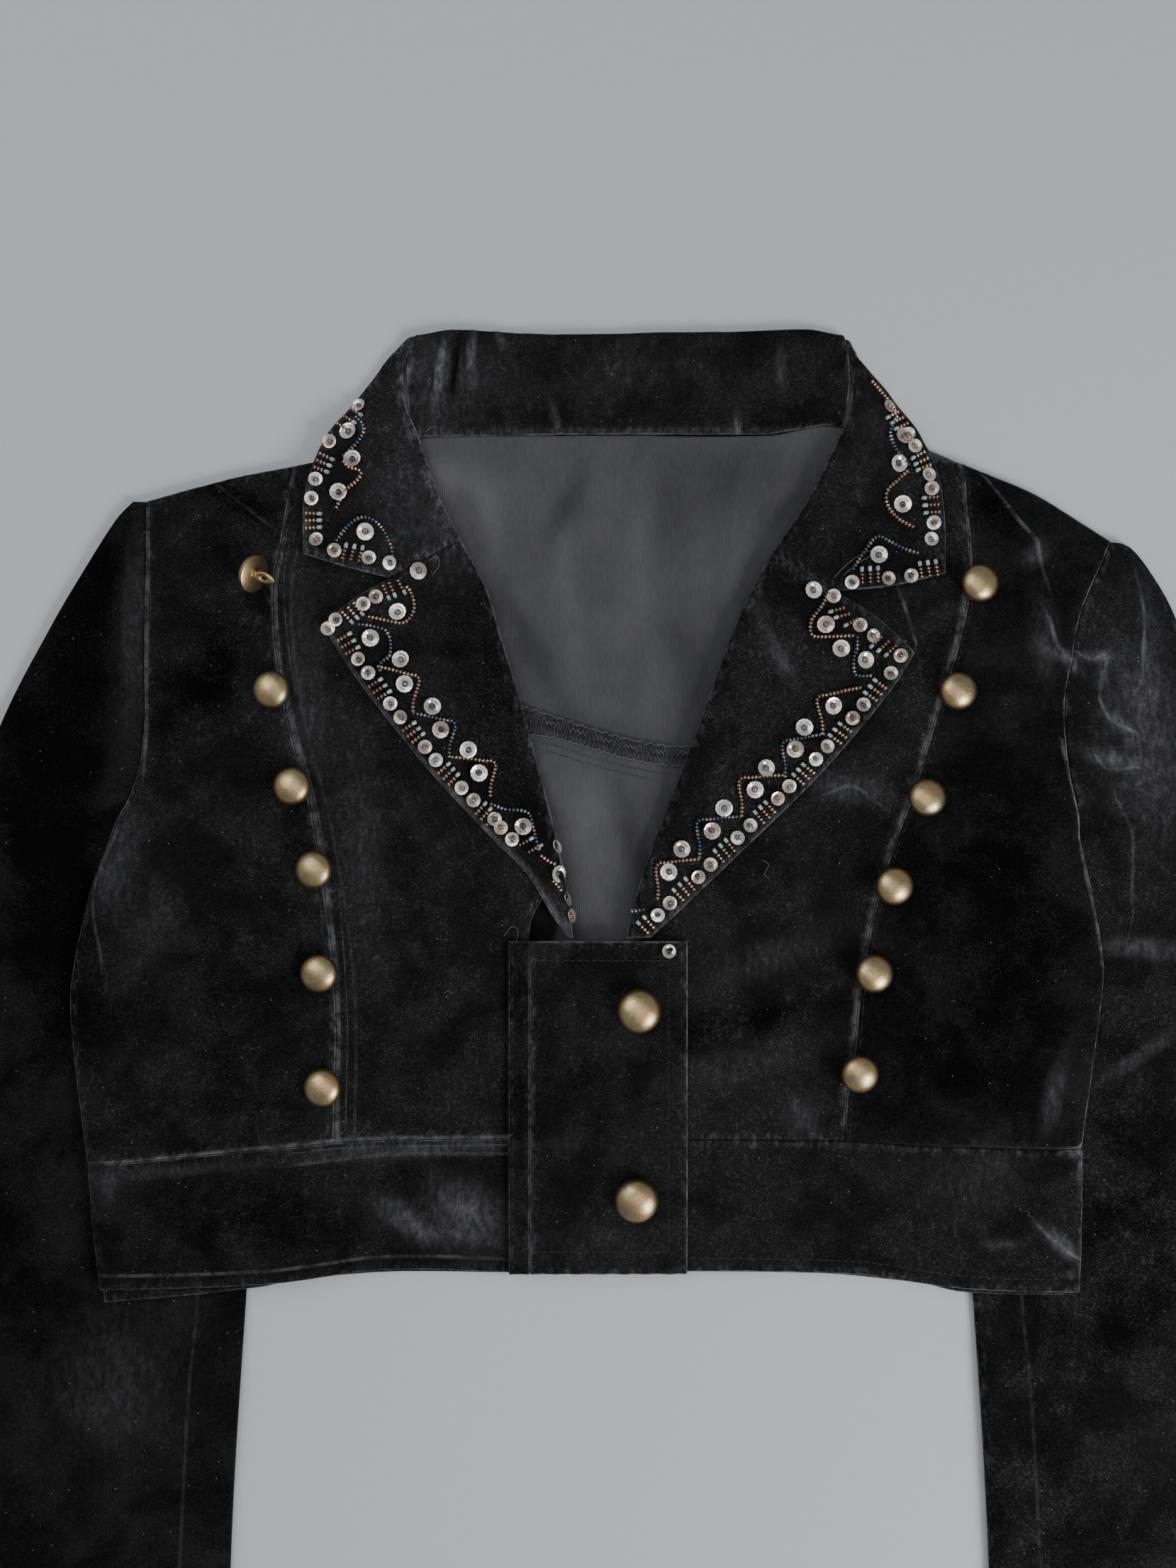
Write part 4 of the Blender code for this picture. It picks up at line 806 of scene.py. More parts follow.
@by_half
def sleeve_height(half, x, y):
    """The upper sleeve layer's underside."""
    to_outer = distance_to(half["sleeve_outer"], x, y)
    beyond_side = np.abs(x) - np.abs(x_at(half["side"], y))
    open_air = np.maximum(ease(*SIDE_FILL, beyond_side), ease(*HEM_FILL, y))
    full = SLEEVE_PUFF + folds_at(SLEEVE_FOLDS + SLEEVE_CREASES, x, y) + settled(x, y)
    full = np.maximum(full, LEAST_SLEEVE_PUFF)
    puff = SLEEVE_PUFF_HIDDEN + (full - SLEEVE_PUFF_HIDDEN) * open_air
    above = ease(*SLEEVE_HEAD, y)
    at_inner = above + (1 - above) * rounded(distance_to(half["sleeve_inner"], x, y), INNER_ROUND)
    lying = SLEEVE_WALL + SLEEVE_GAP + puff * rounded(to_outer, SLEEVE_ROUND) * at_inner
    head = ease(*HEAD_FOLD, distance_to(half["armhole"], x, y)) * above
    head = head * rounded(to_outer, SHOULDER_ROUND)
    return lying + (front_height(x, y) - lying) * head


# Grids and walls

def shares_of(length, step, fine_start=True, fine_end=True):
    """Where grid lines cross a stretch, closer together at its bound ends."""
    rim = [offset / length for offset in EDGE_ROWS]
    start = rim if fine_start else [0.0]
    end = [1 - share for share in reversed(rim)] if fine_end else [1.0]
    count = max(2, round((end[0] - start[-1]) * length / step))
    return np.array([*start[:-1], *np.linspace(start[-1], end[0], count + 1), *end[1:]])


def filled(bottom, top, left, right, across, upward):
    """A grid of plan points that fills four edges, which meet at their ends."""
    low = along(bottom, across)
    high = along(top, across)
    first = along(left, upward)
    last = along(right, upward)
    first[0], first[-1] = low[0], high[0]
    last[0], last[-1] = low[-1], high[-1]
    v = upward[:, None, None]
    u = across[None, :, None]
    ruled = (1 - v) * low + v * high + (1 - u) * first[:, None] + u * last[:, None]
    corners_low = (1 - u) * low[0] + u * low[-1]
    corners_high = (1 - u) * high[0] + u * high[-1]
    return ruled - ((1 - v) * corners_low + v * corners_high)


def plan_grid(patches, step):
    """Plan points over one patch or a stack of them: bottom, top, left and right edge."""
    widths = [lengths_along(edge)[-1] for patch in patches for edge in patch[:2]]
    across = shares_of(sum(widths) / len(widths), step)
    blocks = []
    for k, patch in enumerate(patches):
        tall = max(lengths_along(edge)[-1] for edge in patch[2:])
        upward = shares_of(tall, step, k == 0, k == len(patches) - 1)
        block = filled(*patch, across, upward)
        blocks.append(block[1:] if k else block)
    grid = np.concatenate(blocks)
    return grid[..., 0], grid[..., 1]


def to_outline(x, y, closed=True):
    """How far a grid's points are from its outline, which may lack the first row."""
    grid = np.stack([x, y], axis=-1)
    first = grid[0] if closed else grid[:1, -1]
    outline = np.concatenate([first, grid[1:, -1], grid[-1, -2::-1], grid[-2::-1, 0]])
    return distance_to(outline, x, y)


def placed(points):
    """Plan points in millimetres, put into the frame in metres."""
    return (points - np.array([MIDDLE_X, MIDDLE_Y, 0.0])) * MM


def side_faces(indices, flip):
    a = indices[:-1, :-1]
    b = indices[:-1, 1:]
    c = indices[1:, 1:]
    d = indices[1:, :-1]
    order = (a, d, c, b) if flip else (a, b, c, d)
    return np.stack(order, axis=-1).reshape(-1, 4)


def two_sided(upper, lower, open_start=False):
    """Points and faces of a wall between two layers, which share their border.

    Where the start is open, they share only the ends of the first row.
    """
    shared = np.zeros(upper.shape[:2], dtype=bool)
    shared[0] = shared[-1] = True
    shared[:, 0] = shared[:, -1] = True
    if open_start:
        shared[0, 1:-1] = False
    top = np.arange(shared.size).reshape(shared.shape)
    low = top.copy()
    free = ~shared
    low[free] = shared.size + np.arange(free.sum())
    points = np.concatenate([upper.reshape(-1, 3), lower[free]])
    faces = np.concatenate([side_faces(top, False), side_faces(low, True)])
    return points, faces, free


def rim_light(name, points):
    """How strong the painted highlight along a piece's worn rim is at each of its points."""
    x, y = points[:, 0], points[:, 1]
    strength, above, below = RIMS.get(name, (DEFAULT_RIM, None, None))
    light = np.full(len(points), strength)
    if name.startswith(("cloth_lapel", "cloth_collar")):
        for half in (LEFT, RIGHT):
            light = light * (0.15 + 0.85 * ease(*GORGE_FADE, distance_to(half["gorge"], x, y)))
    at_side = ease(*AT_SIDE, np.abs(x))
    for fade in (above, below):
        if fade:
            light = light * np.maximum(ease(*fade, y), at_side)
    return light


def linked(name, data):
    """An object of the scene that holds the given data."""
    obj = bpy.data.objects.new(name, data)
    bpy.context.scene.collection.objects.link(obj)
    return obj


def new_object(name, points, faces, fields, looks):
    """A mesh object with smooth faces and point fields; its lower side may have a second look."""
    mesh = bpy.data.meshes.new(name)
    wear = np.full(len(points), WEAR_AND_LIGHT.get(name, DEFAULT_WEAR_AND_LIGHT))
    fields = {**fields, "wear": wear, "rim": rim_light(name, points)}
    mesh.from_pydata(placed(points).tolist(), [], np.concatenate(faces).tolist())
    for field, values in fields.items():
        if field == "grain":
            layer = mesh.uv_layers.new(name="grain")
            corners = np.empty(len(mesh.loops), dtype=np.int32)
            mesh.loops.foreach_get("vertex_index", corners)
            layer.data.foreach_set("uv", values[corners].astype(np.float32).ravel())
        else:
            attribute = mesh.attributes.new(field, "FLOAT", "POINT")
            attribute.data.foreach_set("value", values.astype(np.float32))
    for finish in looks:
        mesh.materials.append(finish)
    if len(looks) > 1:
        slots = np.repeat(np.arange(2, dtype=np.int32), [len(part) for part in faces])
        mesh.polygons.foreach_set("material_index", slots)
    mesh.shade_smooth()
    return linked(name, mesh)


def surface_fields(x, y, edge, lines=(), grain=0.0, naps=NAP_AND_SHADE_PATCHES):
    """What the finishes read: distance to the edge and to the pressed lines with their painted
    highlight, the pile's lie with painted light and shade, grain.
    """
    nearest = np.full(x.shape, FAR_FROM_LINES)
    shine = np.zeros(x.shape)
    for path, strength in lines:
        path = smooth(path, 6) if len(path) < DENSE_LINE else path
        away = signed_distance(path, x, y)
        closer = np.abs(away) < np.abs(nearest)
        nearest = np.where(closer, away, nearest)
        shine = np.where(closer, strength, shine)
    return {"edge": edge, "line": nearest, "shine": shine, "nap": nap_and_shade_at(naps, x, y),
            "grain": np.stack(turned(x, y, grain), axis=-1) / GRAIN_SCALE}


def joined_fields(fields, free):
    """The fields of a grid, in the order of a two-sided wall's points."""
    joined = {}
    for name, values in fields.items():
        flat = values.reshape(free.size, *values.shape[2:])
        joined[name] = np.concatenate([flat, values[free]])
    return joined


def cut_of(middle):
    """The flat size and area that a laid piece is cut to, in metres."""
    rows = np.linalg.norm(np.diff(middle, axis=1), axis=2)
    columns = np.linalg.norm(np.diff(middle, axis=0), axis=2)
    width = rows.sum(axis=1).max() * MM
    length = columns.sum(axis=0).max() * MM
    sides_a = middle[1:, 1:] - middle[:-1, :-1]
    sides_b = middle[1:, :-1] - middle[:-1, 1:]
    area = 0.5 * np.linalg.norm(np.cross(sides_a, sides_b), axis=2).sum() * MM * MM
    return (width, length), float(np.clip(area, 0.3 * width * length, width * length))


def dress(piece, nodes, cut=None):
    """Ties a finished piece to the frame."""
    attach(piece, "root")
    if nodes:
        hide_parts(*nodes)


def wall_piece(name, middle, edge, wall, rim, fields, looks, nodes):
    """A closed cloth wall round a middle surface, with its rim rounded off.

    A strip too narrow to be cut by itself is declared with the piece that it is sewn on.
    """
    upward = unit(np.cross(np.gradient(middle, axis=1), np.gradient(middle, axis=0)))
    reach = upward * (0.5 * wall * swelling(edge, rim))[..., None]
    points, faces, free = two_sided(middle + reach, middle - reach)
    piece = new_object(name, points, np.split(faces, 2), joined_fields(fields, free), looks)
    cut = cut_of(middle)
    dress(piece, nodes, cut if cut[0][0] > NARROWEST_CUT else None)
    return piece


def laid_piece(name, patches, height, wall=BODY_WALL, node=None, inside=False, rests_on=(),
               sewn_on=(), grain=0.0, lines=(), naps=NAP_AND_SHADE_PATCHES, step=2.0, rim=0.9, welt=0.0):
    """A cut piece that lies on what a height rule gives; inside is for a showing wrong side."""
    x, y = plan_grid(patches, step)
    edge = to_outline(x, y)
    ripple = RIPPLE * bell(edge, 6) * np.sin(0.8 * y + 0.65 * x + 1.5 * np.sin(0.13 * y))
    welted = welt * ease(*WELT_START, edge) * (1 - ease(*WELT_END, edge))
    level = np.maximum(height(x, y) + ripple * ease(0, 2, edge) + welted, LEAST_LEVEL) + wall / 2
    middle = np.stack([x, y, level], axis=-1)
    fields = surface_fields(x, y, edge, lines, grain, naps)
    looks = [jersey(), velvet()] if inside else [velvet()]
    return wall_piece(f"cloth_{name}", middle, edge, wall, rim, fields, looks, [node or name])


# Finishes

class Value:
    """A shader socket that can stand in a sum."""

    def __init__(self, finish, socket):
        self.finish = finish
        self.socket = socket

    def math(self, operation, *others):
        inputs = dict(enumerate((self, *others)))
        return self.finish.node("ShaderNodeMath", {"operation": operation}, inputs)

    def __add__(self, other):
        return self.math("ADD", other)

    def __sub__(self, other):
        return self.math("SUBTRACT", other)

    def __mul__(self, other):
        return self.math("MULTIPLY", other)

    def __rsub__(self, other):
        return self.finish.node("ShaderNodeMath", {"operation": "SUBTRACT"}, {0: other, 1: self})

    __radd__ = __add__
    __rmul__ = __mul__

    def between(self, low, high):
        """0 below low and 1 above high, smooth between."""
        inputs = {"Value": self, "From Min": low, "From Max": high}
        settings = {"interpolation_type": "SMOOTHSTEP"}
        return self.finish.node("ShaderNodeMapRange", settings, inputs)


class Finish:
    """One procedural material while it is being made."""

    def __init__(self, name):
        self.look = bpy.data.materials.new(name)
        self.look.use_nodes = True
        self.tree = self.look.node_tree
        self.tree.nodes.clear()
        self.place = self.node("ShaderNodeTexCoord", output="Object")

    def node(self, kind, settings=None, inputs=None, output=0):
        made = self.tree.nodes.new(kind)
        for name, setting in (settings or {}).items():
            setattr(made, name, setting)
        for name, value in (inputs or {}).items():
            if isinstance(value, Value):
                self.tree.links.new(value.socket, made.inputs[name])
            else:
                made.inputs[name].default_value = value
        return Value(self, made.outputs[output])

    def field(self, name):
        return self.node("ShaderNodeAttribute", {"attribute_name": name}, output="Fac")

    def stretched(self, *scale):
        """The place, stretched along its axes."""
        inputs = {0: self.place, 1: scale}
        return self.node("ShaderNodeVectorMath", {"operation": "MULTIPLY"}, inputs)

    def noise(self, scale, detail=2.0, roughness=0.5, distortion=0.0, vector=None):
        inputs = {"Vector": vector or self.place, "Scale": scale, "Detail": detail,
                  "Roughness": roughness, "Distortion": distortion}
        return self.node("ShaderNodeTexNoise", None, inputs)

    def mixed(self, factor, first, second):
        """Two colours mixed, each a plain one or a socket."""
        first, second = (shade if isinstance(shade, Value) else (*shade, 1.0)
                         for shade in (first, second))
        settings = {"data_type": "RGBA", "clamp_factor": True}
        return self.node("ShaderNodeMix", settings, {0: factor, 6: first, 7: second}, output=2)

    def ramp(self, factor, shades):
        """A ramp through evenly spaced shades."""
        made = self.node("ShaderNodeValToRGB", None, {"Fac": factor})
        stops = made.socket.node.color_ramp.elements
        for k, shade in enumerate(shades):
            position = k / max(1, len(shades) - 1)
            stop = stops[k] if k < len(stops) else stops.new(position)
            stop.position = position
            stop.color = (*shade, 1.0)
        return made

    def shaded(self, height, strength, distance, **inputs):
        """The material, from its bump and the shader's inputs."""
        bump = {"Height": height, "Strength": strength, "Distance": distance}
        named = {name.replace("_", " "): value for name, value in inputs.items()}
        named["Normal"] = self.node("ShaderNodeBump", None, bump)
        shader = self.node("ShaderNodeBsdfPrincipled", None, named)
        end = self.tree.nodes.new("ShaderNodeOutputMaterial")
        self.tree.links.new(shader.socket, end.inputs["Surface"])
        return self.look


def velvet_finish(cloth):
    """Short black pile, crushed and worn light in places, with lint on it, and painted light and
    shade: highlights along rims, pressed lines and creases, and lighter and darker patches.
    """
    finish = Finish("black velvet")
    edge = finish.field("edge")
    wear = finish.field("wear")
    nap = finish.field("nap")
    pile = finish.noise(1500, 3, 0.7)
    tufts = finish.noise(520, 4, 0.7, 0.3)
    spread = finish.noise(42, 3, 0.6, 0.3)
    streaks = finish.noise(420, 5, 0.7, vector=finish.stretched(1.0, 0.45, 1.0))
    mottle = spread.between(0.36, 0.68) * 0.45 + tufts.between(0.36, 0.70) * 0.22
    mottle = mottle + (pile - 0.4) * 1.2
    # Pile depth: darker where the pile's lie field is below 0, which also carries painted shade in
    # folds and shadows, and lighter where a piece is more worn and lit
    depth = mottle + nap.math("MINIMUM", 0.0) * 0.6 + wear * 0.3
    base = finish.mixed(depth, cloth.deep_pile, cloth.pile)
    flecks = pile.between(0.55, 0.70) * spread.between(0.30, 0.58) * (wear * 0.8 + 0.18)
    rows = streaks.between(0.56, 0.68) * spread.between(0.34, 0.62) * (wear * 0.6 + 0.08)
    crushed = tufts.between(0.54, 0.74) * spread.between(0.46, 0.66) * wear
    # Lighter where the pile's lie field is above 0: pile lying another way, and painted highlight
    # on folds and creases
    brushed_and_lit = nap.math("MAXIMUM", 0.0) * (streaks.between(0.38, 0.66) * 0.7 + 0.3)
    # A patchy mask that breaks up the painted highlights along rims and lines
    worn = finish.noise(150, 4, 0.65).between(0.42, 0.60) * 0.75 + 0.25
    strokes = (1 - edge.between(0.8, 4.5)) * streaks.between(0.44, 0.70) * wear
    # Painted highlight along each piece's rim, partly standing for worn pile catching the light
    rim = (1 - edge.between(0.3, 1.1)) * worn * finish.field("rim")
    to_line = finish.field("line").math("ABSOLUTE")
    # Painted highlight along the pressed lines, seams and creases
    pressed = (1 - to_line.between(0.15, 1.1)) * finish.field("shine") * worn
    cells = {"Vector": finish.place, "Scale": 260.0}
    near = finish.node("ShaderNodeTexVoronoi", None, cells, output="Distance")
    pick = finish.node("ShaderNodeTexVoronoi", None, cells, output="Color")
    picked = finish.node("ShaderNodeSeparateColor", None, {0: pick})
    lint = (1 - near.between(0.03, 0.09)) * picked.between(0.66, 0.68)
    # The lighter parts, mixed towards one colour: crushed and worn pile, and the painted highlights
    # along rims, lines, creases and in the lighter patches
    light = flecks * 0.5 + crushed * cloth.crush + brushed_and_lit * 0.5 + rim * cloth.edge_light
    light = light + pressed * 0.5 + strokes * 0.5 + rows * 0.3
    base = finish.mixed(light, base, cloth.crushed_pile)
    base = finish.mixed(lint * 0.5, base, cloth.lint)
    return finish.shaded(
        pile * 0.6 + tufts * 0.8 + streaks * 0.5, 0.7, 0.0006,
        Base_Color=base, Roughness=0.9, Specular_IOR_Level=0.03,
        Sheen_Weight=cloth.sheen, Sheen_Roughness=0.3, Sheen_Tint=(0.86, 0.92, 1.0, 1.0),
    )


def jersey_finish(cloth):
    """The cloth's charcoal inner side, finely ribbed along its length, with painted light and shade
    on its folds and a painted shadow under the left lapel.
    """
    finish = Finish("charcoal knit")
    nap = finish.field("nap")
    grain = finish.node("ShaderNodeUVMap", {"uv_map": "grain"})
    across = finish.node("ShaderNodeSeparateXYZ", None, {0: grain})
    ribs = (across * (2 * math.pi * GRAIN_SCALE / RIB_PITCH)).math("SINE")
    fleck = finish.noise(900, 4, 0.7, vector=finish.stretched(1.0, 0.3, 1.0))
    fade = finish.noise(40, 4, 0.6)
    # The patch field brings in the painted light and shade of the folds
    tone = ribs * 0.08 + (fleck - 0.5) * 0.7 + (fade - 0.5) * 0.7 + nap * 0.75 + 0.45
    base = finish.mixed(tone, cloth.wrong_side_dark, cloth.wrong_side)
    # Painted shadow: nearly black where the patch field is far below 0, under the left lapel
    base = finish.mixed(nap.between(-0.9, -1.9), base, cloth.deep_pile)
    return finish.shaded(
        ribs * 0.25 + fleck * 0.8, 0.5, 0.0003,
        Base_Color=base, Roughness=0.86, Specular_IOR_Level=0.15,
        Sheen_Weight=0.08, Sheen_Roughness=0.5,
    )


def thread_finish(name, shade):
    finish = Finish(name)
    twist = finish.noise(2600)
    base = finish.mixed(twist, [0.45 * part for part in shade], shade)
    return finish.shaded(twist, 0.5, 0.0002, Base_Color=base, Roughness=0.62,
                         Specular_IOR_Level=0.35)


def brass_finish(metal):
    """Old brass: soft polish, darker tarnish in patches, a few fine scratches, and patches of
    painted reflection of a reddish light.
    """
    finish = Finish("antique brass")
    patches = finish.noise(150, 4, 0.6, 0.8)
    grain = finish.noise(900, 5, 0.7)
    scratch = finish.noise(1800, vector=finish.stretched(0.25, 1.0, 1.0))
    base = finish.mixed(patches.between(0.35, 0.68), metal.brass, metal.tarnish)
    # Painted reflection: patches lean towards a redder brass where a reddish light would be
    # mirrored
    glow = finish.noise(95).between(0.46, 0.62) * 0.7 + grain.between(0.55, 0.8) * 0.3
    return finish.shaded(
        grain * 0.5 + scratch.between(0.6, 0.66) * 0.4 + patches * 0.6, 0.25, 0.0004,
        Base_Color=finish.mixed(glow, base, metal.warm), Metallic=1.0,
        Roughness=patches * 0.18 + grain * 0.06 + 0.24,
    )


def bead_finish(name, shades, metallic, roughness):
    """Small glass beads whose colour runs through a few shades from bead to bead."""
    finish = Finish(name)
    glint = finish.noise(1400)
    return finish.shaded(glint, 0.2, 0.0002, Base_Color=finish.ramp(finish.field("tint"), shades),
                         Metallic=metallic, Roughness=glint * 0.12 + roughness,
                         Coat_Weight=0.5, Coat_Roughness=0.08)


def sequin_finish(trim):
    """Pearly cupped plastic: some catch the light, some are duller or warmer, and dark patches are
    a painted reflection of the dark cloth.
    """
    finish = Finish("sequin")
    sheen = finish.noise(420, 3, 0.6)
    tint = finish.field("tint")
    base = finish.mixed(tint.between(0.2, 0.6), trim.sequin_shade, trim.sequin)
    base = finish.mixed(tint.between(0.2, 0.02), base, trim.sequin_warm)
    # Painted reflection: dark patches that stand for the dark cloth mirrored in the cups
    mirrored = finish.noise(110, 1, 0.4).between(0.42, 0.60)
    base = finish.mixed(mirrored * 0.5, base, trim.sequin_dark)
    return finish.shaded(sheen, 0.25, 0.0003, Base_Color=base, Metallic=0.65,
                         Roughness=sheen * 0.12 + 0.13, Coat_Weight=0.4, Coat_Roughness=0.05)


def floor_finish(stage):
    finish = Finish("pale floor")
    grain = finish.noise(240, 6, 0.6)
    base = finish.mixed(grain, [0.93 * part for part in stage.floor], stage.floor)
    return finish.shaded(grain, 0.2, 0.0006, Base_Color=base, Roughness=0.8)


@functools.cache
def velvet():
    return velvet_finish(bpy.context.scene.jacket_cloth)


@functools.cache
def jersey():
    return jersey_finish(bpy.context.scene.jacket_cloth)


# Cloth pieces

def build_back():
    waist = smooth(BACK_WAIST_SEAM)
    yoke = smooth(BACK_YOKE_SEAM)
    underarm = [(-198.3, UNDERARM_Y), (203.4, UNDERARM_Y)]
    laid_piece("back_waistband", [(
        smooth(BACK_HEM), moved(waist, 0, -HALF_SEAM),
        smooth([BACK_HEM[0], (-206, 20), BACK_WAIST_SEAM[0]]),
        smooth([BACK_HEM[-1], (205, 25), BACK_WAIST_SEAM[-1]]),
    )], back_height, step=3.0)
    laid_piece("back_lower", [
        (moved(waist, 0, HALF_SEAM), underarm,
         smooth([BACK_WAIST_SEAM[0], *moved(LEFT["side"][2:-1], 0.7), underarm[0]]),
         smooth([BACK_WAIST_SEAM[-1], *moved(RIGHT["side"][3:-1], -0.7), underarm[1]])),
        (underarm, moved(yoke, 0, -HALF_SEAM),
         smooth([underarm[0], (-189.4, 209), BACK_YOKE_SEAM[0]]),
         smooth([underarm[1], (199.2, 217), BACK_YOKE_SEAM[-1]])),
    ], folded_back_height, inside=True, naps=INNER_LIGHT_AND_SHADE, step=2.4)
    laid_piece("back_upper", [(
        moved(yoke, 0, HALF_SEAM), smooth(BACK_NECK),
        smooth([BACK_YOKE_SEAM[0], (-186.4, 286), (-186, 308), BACK_NECK[0]]),
        smooth([BACK_YOKE_SEAM[-1], (199.4, 250), (205.4, 280), (213.4, 300), BACK_NECK[-1]]),
    )], folded_back_height, inside=True, naps=INNER_LIGHT_AND_SHADE)


def split_index(line):
    """Where a line that runs up crosses into a panel's upper patch."""
    return next(k for k, point in enumerate(line) if point[1] > PRINCESS_SPLIT_Y)


def rightward(line):
    return line if line[0][0] < line[-1][0] else line[::-1]


def outer_edge(half, start):
    """A side panel's outer edge: the side seam, then the armhole."""
    return smooth([*half["side"][start:-1], half["armhole"][0]]), smooth(half["armhole"])


def inner_edge(half, foot, top):
    """A centre panel's inner edge in two parts, which run up inside the roll line."""
    roll = moved(half["roll"][1:], half["sign"] * EDGE_SETBACK)
    edge = np.array([*smooth([*foot, *roll]), *top])
    turn = split_index(edge)
    return edge[:turn + 1], edge[turn:]


def panel_patches(half, lies, edge, waist, shoulder):
    """A front panel's two patches; it lies left (-1) or right (1) of its princess seam."""
    seam = np.array(moved(smooth(half["princess"]), lies * HALF_SEAM))
    waist = np.array(moved(waist, 0, HALF_SEAM))
    waist[0 if lies > 0 else -1] = (seam[0][0], half["princess"][0][1] + HALF_SEAM)
    split = split_index(seam)
    middle = np.array([edge[1][0], seam[split]])
    low = (seam[:split + 1], edge[0])[::lies]
    high = (seam[split:], edge[1])[::lies]
    return [(rightward(waist), rightward(middle), *low),
            (rightward(middle), rightward(shoulder), *high)]


def build_fronts():
    left_edge = inner_edge(LEFT, [(PLACKET_LEFT, y) for y in (61, 105, 150)],
                           [(-76, 332), (-93, 350)])
    right_edge = inner_edge(RIGHT, [(UNDERLAP_X, 61), (UNDERLAP_X, 100), (-8, 124), (12, 138),
                                    (22, 152)], [(103, 334), (119, 351)])
    panels = (
        ("left_side", LEFT, 0.35, -1, outer_edge(LEFT, 1), smooth(WAIST_SEAM[:4]),
         smooth([(-187, 329), (-150, 339), (-124 - HALF_SEAM, 344)])),
        ("right_side", RIGHT, 0.2, 1, outer_edge(RIGHT, 2), smooth(WAIST_SEAM[-2:]),
         smooth([(156 + HALF_SEAM, 345), (188, 332), (220, 312)])),
        ("left_centre", LEFT, 0.35, 1, left_edge, [(-107, 60), (PLACKET_LEFT, 61)],
         [(-124, 344), (-93, 350)]),
        ("right_centre", RIGHT, 0.2, -1, right_edge, [(UNDERLAP_X, 61), (107, 60)],
         [(119, 351), (156, 345)]),
    )
    for name, half, welt, *form in panels:
        laid_piece(f"front_{name}", panel_patches(half, *form), front_height, lines=BODY_LINES,
                   rests_on=["cloth_back_lower", "cloth_back_upper"], step=1.8, rim=0.45, welt=welt)
    left_hem = smooth([*FRONT_HEM[:3], (PLACKET_LEFT, 3.6)])
    left_top = [*moved(smooth(WAIST_SEAM[:4]), 0, -HALF_SEAM), (PLACKET_LEFT, 61 - HALF_SEAM)]
    right_hem = smooth([(UNDERLAP_X, 4), *FRONT_HEM[4:]])
    right_top = [(UNDERLAP_X, 61 - HALF_SEAM), *moved(WAIST_SEAM[-2:], 0, -HALF_SEAM)]
    bands = (
        ("left", left_hem, left_top, smooth([FRONT_HEM[0], (-208, 26), WAIST_SEAM[0]]),
         [left_hem[-1], left_top[-1]]),
        ("right", right_hem, right_top, [right_hem[0], right_top[0]],
         smooth([FRONT_HEM[-1], (206, 33), WAIST_SEAM[-1]])),
    )
    for name, *edges in bands:
        laid_piece(f"waistband_{name}", [edges], front_height, rests_on=["cloth_back_waistband"],
                   lines=BODY_LINES, step=1.8, rim=0.7, welt=0.3)


def build_placket():
    strips = (
        ("placket_strip", STRIP_LEFT, PLACKET_LEFT - HALF_SEAM),
        ("placket", PLACKET_LEFT + HALF_SEAM, PLACKET_RIGHT),
    )
    sewn = []
    for name, left, right in strips:
        low, high = ([(left, y), (right, y)] for y in (PLACKET_BOTTOM, PLACKET_TOP))
        sewn.append(laid_piece(
            name, [(low, high, [low[0], high[0]], [low[1], high[1]])], over_front, PLACKET_WALL,
            rests_on=["cloth_waistband_left", "cloth_waistband_right"], sewn_on=tuple(sewn),
            step=1.6, rim=0.8, welt=0.25,
        ))


def turned_patch(half, low, top, edge, roll):
    return (rightward(low), rightward(top), *(roll, smooth(edge))[::half["sign"]])


def lapel_patch(half):
    gorge = moved(half["gorge"], 0, -HALF_SEAM)
    top = np.array([*smooth([*half["lapel_top"][:-1], gorge[0]]), gorge[1]])
    low = [half["lapel_edge"][0], half["roll"][0]]
    return turned_patch(half, low, top, half["lapel_edge"], smooth([*half["roll"][:-1], gorge[1]]))


def collar_patch(half):
    gorge = moved(half["gorge"], 0, HALF_SEAM)
    low = np.array([*smooth([*half["collar_end"][:-1], gorge[0]]), gorge[1]])
    outer, inner = half["collar_edge"][-1], half["collar_roll"][-1]
    crown = ((outer[0] + inner[0]) / 2, max(outer[1], inner[1]) - 0.5)
    roll = smooth([gorge[1], *half["collar_roll"][1:]])
    return turned_patch(half, low, smooth([outer, crown, inner]), half["collar_edge"], roll)


def turned_lines(half):
    """The painted highlight lines along a lapel's fold and inside its outer edge."""
    sign = half["sign"]
    paths = (moved(half["roll"], sign * 0.4), moved(half["collar_roll"], sign * 0.3),
             moved(half["lapel_edge"], -sign * 1.2, 0.9))
    return [(smooth(path), strength) for path, strength in zip(paths, half["turned_shine"])]


def turned_piece(name, half, patch, height, grain, **more):
    """A lapel or a collar's fall, which lies on the front's centre panel."""
    side = half["name"]
    laid_piece(f"{name}_{side}", [patch], height, COLLAR_WALL, grain=grain,
               rests_on=[f"cloth_front_{side}_centre"], lines=turned_lines(half), step=1.7, rim=1.3,
               welt=0.25, **more)


def build_lapels():
    for half, grain in ((LEFT, 16), (RIGHT, -20)):
        turned_piece("lapel", half, lapel_patch(half), lapel_height(half), grain,
                     naps=NAP_AND_SHADE_PATCHES + LAPEL_PATCHES)


def stand_section():
    """The collar's back in section: under the fold, round it and down to the neck seam."""
    low, radius = STAND_LEVEL, STAND_RADIUS
    fold_y = COLLAR_TOP_Y - 1.0 - radius
    turn = [(fold_y + radius * math.sin(a), low + radius - radius * math.cos(a))
            for a in np.linspace(0, math.pi, 9)]
    under = [(y, low) for y in np.linspace(STAND_UNDER_Y, fold_y, 14)[:-1]]
    over = [(y, low + 2 * radius) for y in np.linspace(fold_y, NECK_SEAM_Y + 0.7, 26)[1:]]
    return np.array(under + turn + over)


